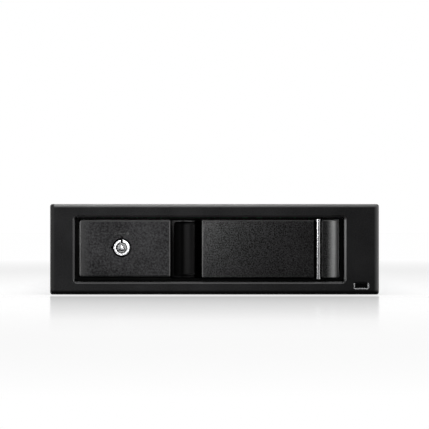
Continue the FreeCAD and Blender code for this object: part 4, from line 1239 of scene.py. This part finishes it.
@dataclass
class LockFace:
    """What shows in the face of the lock: raised mark, its painted shadow, the key's slot with
    its painted shade, and the notch filled as painted shade.

    Attributes:
        materials: the finishes.
        mark_relief_mm: from the post's face to the front of the mark in the frame.
        mark_half_mm: half the width of the raised mark.
        mark_low_mm: from the lock's middle down to the mark's base.
        mark_high_mm: from the lock's middle up to the mark's tip.
        mark_bevel_mm: bevel round the mark's face.
        shadow_mm: width of the painted shadow that shows beside and below the mark.
        film_mm: thickness of the painted shadow and of the arcs in the key's slot.
        slot_shade_mm: inner and outer radius of the dark arc painted as shade in the key's slot.
        ring_mm: inner and outer radius of the ring that closes the rest.
        slot_shade_turn: where the painted shade starts and ends, in degrees from the right.
        slot_steps: how many facets each of the two stretches has.
        notch_mm: inner and outer end of the notch over the lock.
        notch_half_mm: half its width.
        notch_sunk_mm: from the face of the plate to the floor of the notch.
        notch_shade_mm: thickness of the dark block that fills the notch as painted shade.
        x: X of the lock's middle in the frame, which build finds.
        z: Z of the same.
        face: Y of the post's face.
    """

    materials: dict[str, bpy.types.Material]
    mark_relief_mm: float = 0.15
    mark_half_mm: float = 1.5
    mark_low_mm: float = 1.0
    mark_high_mm: float = 1.35
    mark_bevel_mm: float = 0.06
    shadow_mm: float = 0.38
    film_mm: float = 0.02
    slot_shade_mm: tuple[float, float] = (2.3, 2.85)
    ring_mm: tuple[float, float] = (2.3, 2.62)
    slot_shade_turn: tuple[float, float] = (84.0, 232.0)
    slot_steps: int = 18
    notch_mm: tuple[float, float] = (2.9, 5.1)
    notch_half_mm: float = 0.52
    notch_sunk_mm: float = 0.25
    notch_shade_mm: float = 1.2
    x: float = field(init=False, default=0.0)
    z: float = field(init=False, default=0.0)
    face: float = field(init=False, default=0.0)

    def build(self) -> None:
        """Make the pieces of the lock's face."""
        self.x, _, self.z = middle(*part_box("lock_collar"))
        self.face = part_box("lock_spindle")[0].y + self.mark_relief_mm * MM
        self._mark()
        self._painted_shadow()
        self._slot()
        self._notch()

    def _at(self, x_mm: float, z_mm: float) -> tuple[float, float]:
        """Return a point of the face, given in millimetres from the lock's middle."""
        return self.x + x_mm * MM, self.z + z_mm * MM

    def _mark(self) -> None:
        """Make the bright triangle."""
        outline = [self._at(-self.mark_half_mm, -self.mark_low_mm),
                   self._at(self.mark_half_mm, -self.mark_low_mm),
                   self._at(0.0, self.mark_high_mm)]
        mesh = raised(outline, self.face - (self.mark_relief_mm + self.film_mm) * MM, self.face,
                      self.mark_bevel_mm * MM)
        finished("lock_mark", mesh, self.materials["mark_steel"], Body.LOCK)

    def _painted_shadow(self) -> None:
        """Make the painted shadow of the mark, a dark film at its right and below it."""
        wide = self.mark_half_mm + self.shadow_mm
        base = self.mark_low_mm + self.shadow_mm
        outline = [self._at(-wide + self.shadow_mm / 2, -base), self._at(wide, -base),
                   self._at(self.shadow_mm, self.mark_high_mm + self.shadow_mm / 2),
                   self._at(0.0, self.mark_high_mm)]
        mesh = raised(outline, self.face - self.film_mm * MM, self.face)
        finished("lock_mark_inlay", mesh, self.materials["notch_black"], Body.LOCK)

    def _slot(self) -> None:
        """Make the dark arc painted as shade in the key's slot, and the ring that closes the rest
        of it.
        """
        start, end = self.slot_shade_turn
        self._arc("key_slot_shade", start, end, self.slot_shade_mm, "notch_black")
        self._arc("key_slot_ring", end, start + 360.0, self.ring_mm, "lock_core")

    def _arc(self, name: str, start: float, end: float, radii: tuple[float, float],
             finish: str) -> None:
        """Make a flat arc in the key's slot.

        Args:
            name: the piece's name.
            start: where it starts, in degrees from the right.
            end: where it ends.
            radii: its inner and outer radius in millimetres.
            finish: its finish.
        """
        turns = [math.radians(start + (end - start) * step / self.slot_steps)
                 for step in range(self.slot_steps + 1)]
        inner, outer = radii
        outline = [self._at(outer * math.cos(turn), outer * math.sin(turn)) for turn in turns]
        outline += [self._at(inner * math.cos(turn), inner * math.sin(turn))
                    for turn in reversed(turns)]
        mesh = raised(outline, self.face - self.film_mm * MM, self.face + self.film_mm * MM)
        finished(name, mesh, self.materials[finish], Body.LOCK)

    def _notch(self) -> None:
        """Make the dark block that fills the notch of the ring and of the plate, painted shade of
        its hollow.
        """
        inner, outer = self.notch_mm
        half = self.notch_half_mm
        outline = [self._at(-half, inner), self._at(half, inner), self._at(half, outer),
                   self._at(-half, outer)]
        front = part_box("lock_plate")[0].y + self.notch_sunk_mm * MM
        mesh = raised(outline, front, front + self.notch_shade_mm * MM, self.film_mm * MM)
        finished("lock_notch_key", mesh, self.materials["notch_black"], Body.TRAY)


@dataclass
class WindowHighlightLip:
    """Light grey bead at the sides and the foot of the light window, a painted highlight along
    the window's edge.

    Attributes:
        material: its finish.
        out_mm: from the clear bar's side to the middle of the lip.
        below_mm: from the bar's underside to the middle of the lip.
        above_mm: how far the lip's ends stand over the bar's upper side.
        sunk_mm: from the bezel's face to the middle of the lip.
        bead_mm: radius of the lip.
        corner_mm: how far its two corners are cut.
        bar_height_mm: height of the clear bar at the window.
        sharp_degrees: edges that turn by more than this stay sharp.
    """

    material: bpy.types.Material
    out_mm: float = 0.75
    below_mm: float = 0.62
    above_mm: float = 0.35
    sunk_mm: float = 0.42
    bead_mm: float = 0.36
    corner_mm: float = 0.3
    bar_height_mm: float = 1.6
    sharp_degrees: float = 60.0

    def build(self) -> None:
        """Make the lip as one bent bead."""
        low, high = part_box("light_pipe")
        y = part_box("front_bezel")[0].y + self.sunk_mm * MM
        left = low.x - self.out_mm * MM
        right = high.x + self.out_mm * MM
        foot = high.z - self.bar_height_mm * MM - self.below_mm * MM
        head = high.z + self.above_mm * MM
        corner = self.corner_mm * MM
        path = [(left, y, head), (left, y, foot + corner), (left + corner, y, foot),
                (right - corner, y, foot), (right, y, foot + corner), (right, y, head)]
        finished("window_lip", bead(path, self.bead_mm * MM), self.material, Body.CAGE,
                 self.sharp_degrees)


@dataclass
class LockLegend:
    """Plain printed marks over the lock: an open ring and a full dot, joined by a bar.

    Attributes:
        material: the print's finish.
        above_mm: height of the marks' centre over the lock's.
        ring_mm: radius of the ring and of the dot.
        reach_mm: distance of each from the middle.
        line_mm: width of the lines.
        film_mm: thickness of the print.
        bar_clear: from the middle of the ring to the bar's end, in radii of the ring.
        facets: how many facets the ring and the dot have.
    """

    material: bpy.types.Material
    above_mm: float = 6.4
    ring_mm: float = 0.62
    reach_mm: float = 2.7
    line_mm: float = 0.3
    film_mm: float = 0.03
    bar_clear: float = 1.8
    facets: int = 20

    def build(self) -> None:
        """Make the marks on the face of the lock plate."""
        x, _, lock_z = middle(*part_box("lock_collar"))
        z = lock_z + self.above_mm * MM
        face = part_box("lock_plate")[0].y
        mesh = bmesh.new()
        self._ring(mesh, x - self.reach_mm * MM, z, face, True)
        self._ring(mesh, x + self.reach_mm * MM, z, face, False)
        self._bar(mesh, x, z, face)
        finished("lock_legend", mesh, self.material, Body.TRAY)

    def _ring(self, mesh: bmesh.types.BMesh, x: float, z: float, face: float,
              is_open: bool) -> None:
        """Add a ring, or a full dot.

        Args:
            mesh: the mesh to add to.
            x: its centre.
            z: its centre.
            face: the face that it lies on.
            is_open: whether its middle is left open.
        """
        outer = self.ring_mm * MM
        inner = (outer - self.line_mm * MM) if is_open else 0.0
        film = self.film_mm * MM
        place = Matrix.Translation((x, face, z)) @ Matrix.Rotation(math.radians(90), 4, "X")
        profile = [(inner, -film), (inner, film), (outer, film), (outer, -film), (inner, -film)]
        if not is_open:
            profile = [(0.0, film), (outer, film), (outer, -film), (0.0, -film)]
        lathe(mesh, profile, place, self.facets)

    def _bar(self, mesh: bmesh.types.BMesh, x: float, z: float, face: float) -> None:
        """Add the bar between the ring and the dot.

        Args:
            mesh: the mesh to add to.
            x: its centre.
            z: its centre.
            face: the face that it lies on.
        """
        half = (self.reach_mm - self.ring_mm * self.bar_clear) * MM
        thick = self.line_mm * MM / 2
        film = self.film_mm * MM
        matrix = Matrix.Translation((x, face, z)) @ Matrix.Diagonal(
            (half * 2, film * 2, thick * 2, 1.0))
        bmesh.ops.create_cube(mesh, size=1.0, matrix=matrix)


@dataclass
class PortContacts:
    """Rows of plated contacts in the connectors, with broken edges.

    Attributes:
        material: their finish.
        width_mm: width of a contact.
        thickness_mm: its thickness.
        pitch_mm: spacing of the contacts.
        corner: width of their broken edges, as a share of the thickness.
        data_up_mm: height of the data port's row over the port's middle.
        data_ends_mm: from the port's front and back to the ends of its contacts.
        slot_up_mm: height of the rows over the middle of the drive's socket.
        slot_ends_mm: from the socket's front to the ends of its contacts.
        power_in_mm: from the socket's right end to the middle of the power row.
        signal_in_mm: from its left end to the middle of the signal row.
        power_count: how many contacts the power row has.
        signal_count: how many each signal row has.
    """

    material: bpy.types.Material
    width_mm: float = 0.7
    thickness_mm: float = 0.12
    pitch_mm: float = 1.27
    corner: float = 0.3
    data_up_mm: float = 0.6
    data_ends_mm: tuple[float, float] = (2.4, 2.2)
    slot_up_mm: float = 1.05
    slot_ends_mm: tuple[float, float] = (0.8, 5.0)
    power_in_mm: float = 14.2
    signal_in_mm: float = 9.1
    power_count: int = 15
    signal_count: int = 7

    def build(self) -> None:
        """Make the contacts of the rear data port and of the drive's socket."""
        low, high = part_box("data_port")
        x, _, z = middle(low, high)
        front, back = self.data_ends_mm
        self._row("data_contacts", x, low.y + front * MM, high.y - back * MM,
                  z + self.data_up_mm * MM, self.signal_count)
        low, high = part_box("drive_connector")
        z = middle(low, high)[2] + self.slot_up_mm * MM
        front, back = (low.y + end * MM for end in self.slot_ends_mm)
        self._row("power_slot_contacts", high.x - self.power_in_mm * MM, front, back, z,
                  self.power_count)
        self._row("signal_slot_contacts", low.x + self.signal_in_mm * MM, front, back, z,
                  self.signal_count)

    def _row(self, name: str, x: float, y0: float, y1: float, z: float, count: int) -> None:
        """Add one row.

        Args:
            name: the piece's name.
            x: middle of the row.
            y0: front end of the contacts.
            y1: their rear end.
            z: their height.
            count: how many there are.
        """
        mesh = bmesh.new()
        size = (self.width_mm * MM, y1 - y0, self.thickness_mm * MM, 1.0)
        for index in range(count):
            place_x = x + (index - (count - 1) / 2) * self.pitch_mm * MM
            matrix = Matrix.Translation((place_x, (y0 + y1) / 2, z)) @ Matrix.Diagonal(size)
            made = bmesh.ops.create_cube(mesh, size=1.0, matrix=matrix)
            edges = {edge for vert in made["verts"] for edge in vert.link_edges}
            bmesh.ops.bevel(mesh, geom=list(edges), offset=self.thickness_mm * MM * self.corner,
                            segments=1, affect="EDGES")
        finished(name, mesh, self.material, Body.CAGE)


# ------------------------------------------------------------------ studio
FRONT = (0, -0.09, 0.02)        # the middle of the front, which most lamps point at
# The lamps that shape the black front would bleach these, which mirror the surroundings instead.
BARE_STEEL = ("top_cover", "cover_screws.cross", "lower_chassis", "rear_plate", "rear_screws",
              "bezel_screws.cross", "flange_rivets", "rail_screws.cross", "ground_springs",
              "front_flange")


@dataclass
class SoftLamp:
    """One rectangular lamp.

    Attributes:
        name: the lamp's name.
        place: where it stands, in metres.
        target: what it points at.
        size: its width and height.
        power: its power in watts.
        spared: the objects that get none of its light.
        in_gloss_only: whether it shows in reflections but lights nothing.
    """

    name: str
    place: Spot
    target: Spot
    size: tuple[float, float]
    power: float
    spared: tuple[str, ...] = ()
    in_gloss_only: bool = False

    def build(self) -> None:
        """Add the lamp to the scene."""
        data = bpy.data.lights.new(self.name, "AREA")
        data.shape = "RECTANGLE"
        data.size, data.size_y = self.size
        data.energy = self.power
        lamp = placed(self.name, data)
        lamp.visible_camera = False
        lamp.visible_diffuse = not self.in_gloss_only
        lamp.location = self.place
        aim = Vector(self.target) - Vector(self.place)
        lamp.rotation_euler = aim.to_track_quat("-Z", "Y").to_euler()
        if self.spared:
            unlit = bpy.data.collections.new("unlit_by_" + self.name)
            for name in self.spared:
                unlit.objects.link(bpy.data.objects[name])
            for member in unlit.collection_objects:
                member.light_linking.link_state = "EXCLUDE"
            lamp.light_linking.receiver_collection = unlit
        log.info("lamp %s", self.name)


@dataclass
class Studio:
    """Floor, world, lamps and camera.

    Attributes:
        distance: from the camera to the bezel.
        frame_width: width of the view at the bezel.
        drop: how far the middle of the bezel lies below the middle of the view.
        sensor: width of the camera's sensor in millimetres.
        clip_end: how far the camera sees.
        floor_size: length of the floor's sides.
        floor_grey: tone of the floor, where light falls on it.
        floor_glow: strength of its own light.
        plain: the ramp by which it turns white, over the distance in metres.
        bounce_grey: tone of the floor for the light that it throws back.
        world_strength: how bright the surroundings are for the object.
        card_ahead: from the bezel to the dark card.
        card_half_width: half the card's width.
        card_height: the card's height.
        sheen_reach: how far ahead of the bezel the floor keeps a sheen.
        sheen: its strength over that reach.
        sheen_roughness: roughness of the sheen.
        card_grey: tone of the dark card.
        lamps: the lamps.
    """

    distance: float = 0.9
    frame_width: float = 0.1942
    drop: float = 0.01575
    sensor: float = 36.0
    clip_end: float = 20.0
    floor_size: float = 6.0
    floor_grey: float = 0.8
    floor_glow: float = 0.47
    plain: Stops = ((0.3, 0.0), (0.6, 1.0))
    bounce_grey: float = 0.45
    world_strength: float = 0.35
    card_ahead: float = 0.95
    card_half_width: float = 0.8
    card_height: float = 0.8
    sheen_reach: float = 0.42
    sheen: Stops = ((0.0, 0.06), (0.03, 0.08), (0.06, 0.44), (0.24, 0.3), (0.36, 0.21),
                    (0.53, 0.05), (0.7, 0.0))
    sheen_roughness: float = 0.12
    card_grey: float = 0.01
    lamps: list[SoftLamp] = field(default_factory=lambda: [
        SoftLamp("left_box", (-0.53, -0.2, 0.06), FRONT, size=(0.3, 0.2), power=0.8,
                 spared=BARE_STEEL),
        SoftLamp("right_box", (0.42, -0.44, 0.06), FRONT, size=(0.5, 0.2), power=0.5),
        SoftLamp("right_strip", (0.42, -0.44, 0.06), FRONT, size=(0.5, 0.2), power=3.1,
                 spared=BARE_STEEL, in_gloss_only=True),
        SoftLamp("top_box", (0.0, -0.15, 0.6), FRONT, size=(0.5, 0.2), power=1.2,
                 spared=BARE_STEEL),
        SoftLamp("key_box", (-0.036, -0.245, 0.056), (-0.036, -0.09, 0.056),
                 size=(0.04, 0.04), power=0.42, spared=("floor", *BARE_STEEL)),
    ])

    def build(self) -> None:
        """Set up the whole studio."""
        self._world()
        self._floor()
        self._dark_card()
        for lamp in self.lamps:
            lamp.build()
        self._camera()
        bpy.context.scene.view_settings.view_transform = "Standard"

    @staticmethod
    def _seen_straight(recipe: Recipe) -> Tap:
        """Tell rays by which the surroundings are seen from rays by which they light.

        Args:
            recipe: the recipe of the floor or the world.

        Returns:
            1 for rays from the camera, a gloss or a clear piece, and 0 for the others.
        """
        camera = recipe.node("ShaderNodeLightPath", output="Is Camera Ray")
        glossy = recipe.node("ShaderNodeLightPath", output="Is Glossy Ray")
        clear = recipe.node("ShaderNodeLightPath", output="Is Transmission Ray")
        return camera + glossy + clear > 0.5

    def _world(self) -> None:
        """Make the world white where it is seen and dimmer where it lights."""
        world = bpy.data.worlds.new("surroundings")
        bpy.context.scene.world = world
        recipe = Recipe(world)
        seen = recipe.shader("ShaderNodeBackground", 1.0, Strength=1.0)
        lit = recipe.shader("ShaderNodeBackground", 1.0, Strength=self.world_strength)
        recipe.out(recipe.mixed(self._seen_straight(recipe), lit, seen), "ShaderNodeOutputWorld")

    def _floor(self) -> None:
        """Lay the pale floor, with a soft gloss that fades away from the object."""
        mesh = bmesh.new()
        bmesh.ops.create_grid(mesh, x_segments=1, y_segments=1, size=self.floor_size / 2)
        floor = meshed("floor", mesh)
        floor.data.materials.append(self._floor_material())

    def _floor_material(self) -> bpy.types.Material:
        """Mix the floor's finish: pale, with the object's shadow and a faint reflection.

        Returns:
            The finished material.
        """
        recipe = Recipe(bpy.data.materials.new("pale_floor"))
        place = recipe.node("ShaderNodeTexCoord", output="Object")
        ahead = CAD_BOX[0][1] - recipe.along("Y", place)
        near_front = recipe.ramp(ahead / self.sheen_reach, self.sheen)
        away = recipe.node("ShaderNodeVectorMath", {"operation": "LENGTH"}, {0: place}, "Value")
        far = recipe.ramp(away, self.plain)
        glow = recipe.shader("ShaderNodeEmission", 1.0, Strength=self.floor_glow)
        white = recipe.shader("ShaderNodeEmission", 1.0, Strength=1.0)
        pale = recipe.shader("ShaderNodeBsdfDiffuse", self.floor_grey)
        lit = recipe.node("ShaderNodeAddShader", {}, {0: glow, 1: pale})
        clean = recipe.mixed(far, lit, white)
        sheen = recipe.shader("ShaderNodeBsdfGlossy", 1.0, Roughness=self.sheen_roughness)
        seen = recipe.mixed(near_front, clean, sheen)
        bounce = recipe.shader("ShaderNodeBsdfDiffuse", self.bounce_grey)
        recipe.out(recipe.mixed(self._seen_straight(recipe), bounce, seen))
        return recipe.owner

    def _dark_card(self) -> None:
        """Stand a dark card behind the camera, so that black plastic mirrors no white there."""
        mesh = bmesh.new()
        half = self.card_half_width
        corners = [(-half, 0.0), (half, 0.0), (half, self.card_height), (-half, self.card_height)]
        mesh.faces.new([mesh.verts.new((x, CAD_BOX[0][1] - self.card_ahead, z))
                        for x, z in corners])
        card = meshed("dark_card", mesh)
        card.visible_camera = False
        card.visible_shadow = False
        recipe = Recipe(bpy.data.materials.new("black_felt"))
        recipe.out(recipe.shader("ShaderNodeBsdfDiffuse", self.card_grey))
        card.data.materials.append(recipe.owner)

    def _camera(self) -> None:
        """Place the camera level with the middle of the view, square to the bezel."""
        low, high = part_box("front_bezel")
        x, _, z = middle(low, high)
        data = bpy.data.cameras.new("camera")
        data.sensor_width = self.sensor
        data.lens = self.sensor * self.distance / self.frame_width
        data.clip_end = self.clip_end
        camera = placed("camera", data)
        camera.location = (x, low.y - self.distance, z + self.drop)
        camera.rotation_euler = (math.radians(90), 0, 0)
        bpy.context.scene.camera = camera


def main() -> None:
    """Dress the frame, add the fine pieces and set up the studio."""
    logging.basicConfig(level=logging.INFO, format="%(name)s: %(message)s")
    materials = finishes()
    CadFinishes(materials).dress()
    for screws in (
        ScrewHeads("cover_screws", Body.CAGE, head_mm=5.6, height_mm=0.0),
        ScrewHeads("rail_screws", Body.CAGE, head_mm=5.6, height_mm=0.0),
        ScrewHeads("board_screws", Body.CAGE, head_mm=5.4, height_mm=1.7),
        ScrewHeads("bezel_screws", Body.CAGE, head_mm=5.4, height_mm=1.7),
        ScrewHeads("front_screws", Body.TRAY, head_mm=5.4, height_mm=1.7),
    ):
        screws.build(materials["screw_steel"])
    LockFace(materials).build()
    LockLegend(materials["faint_print"]).build()
    WindowHighlightLip(materials["window_lip"]).build()
    PortContacts(materials["contact_brass"]).build()
    Studio().build()


if __name__ == "__main__":
    main()
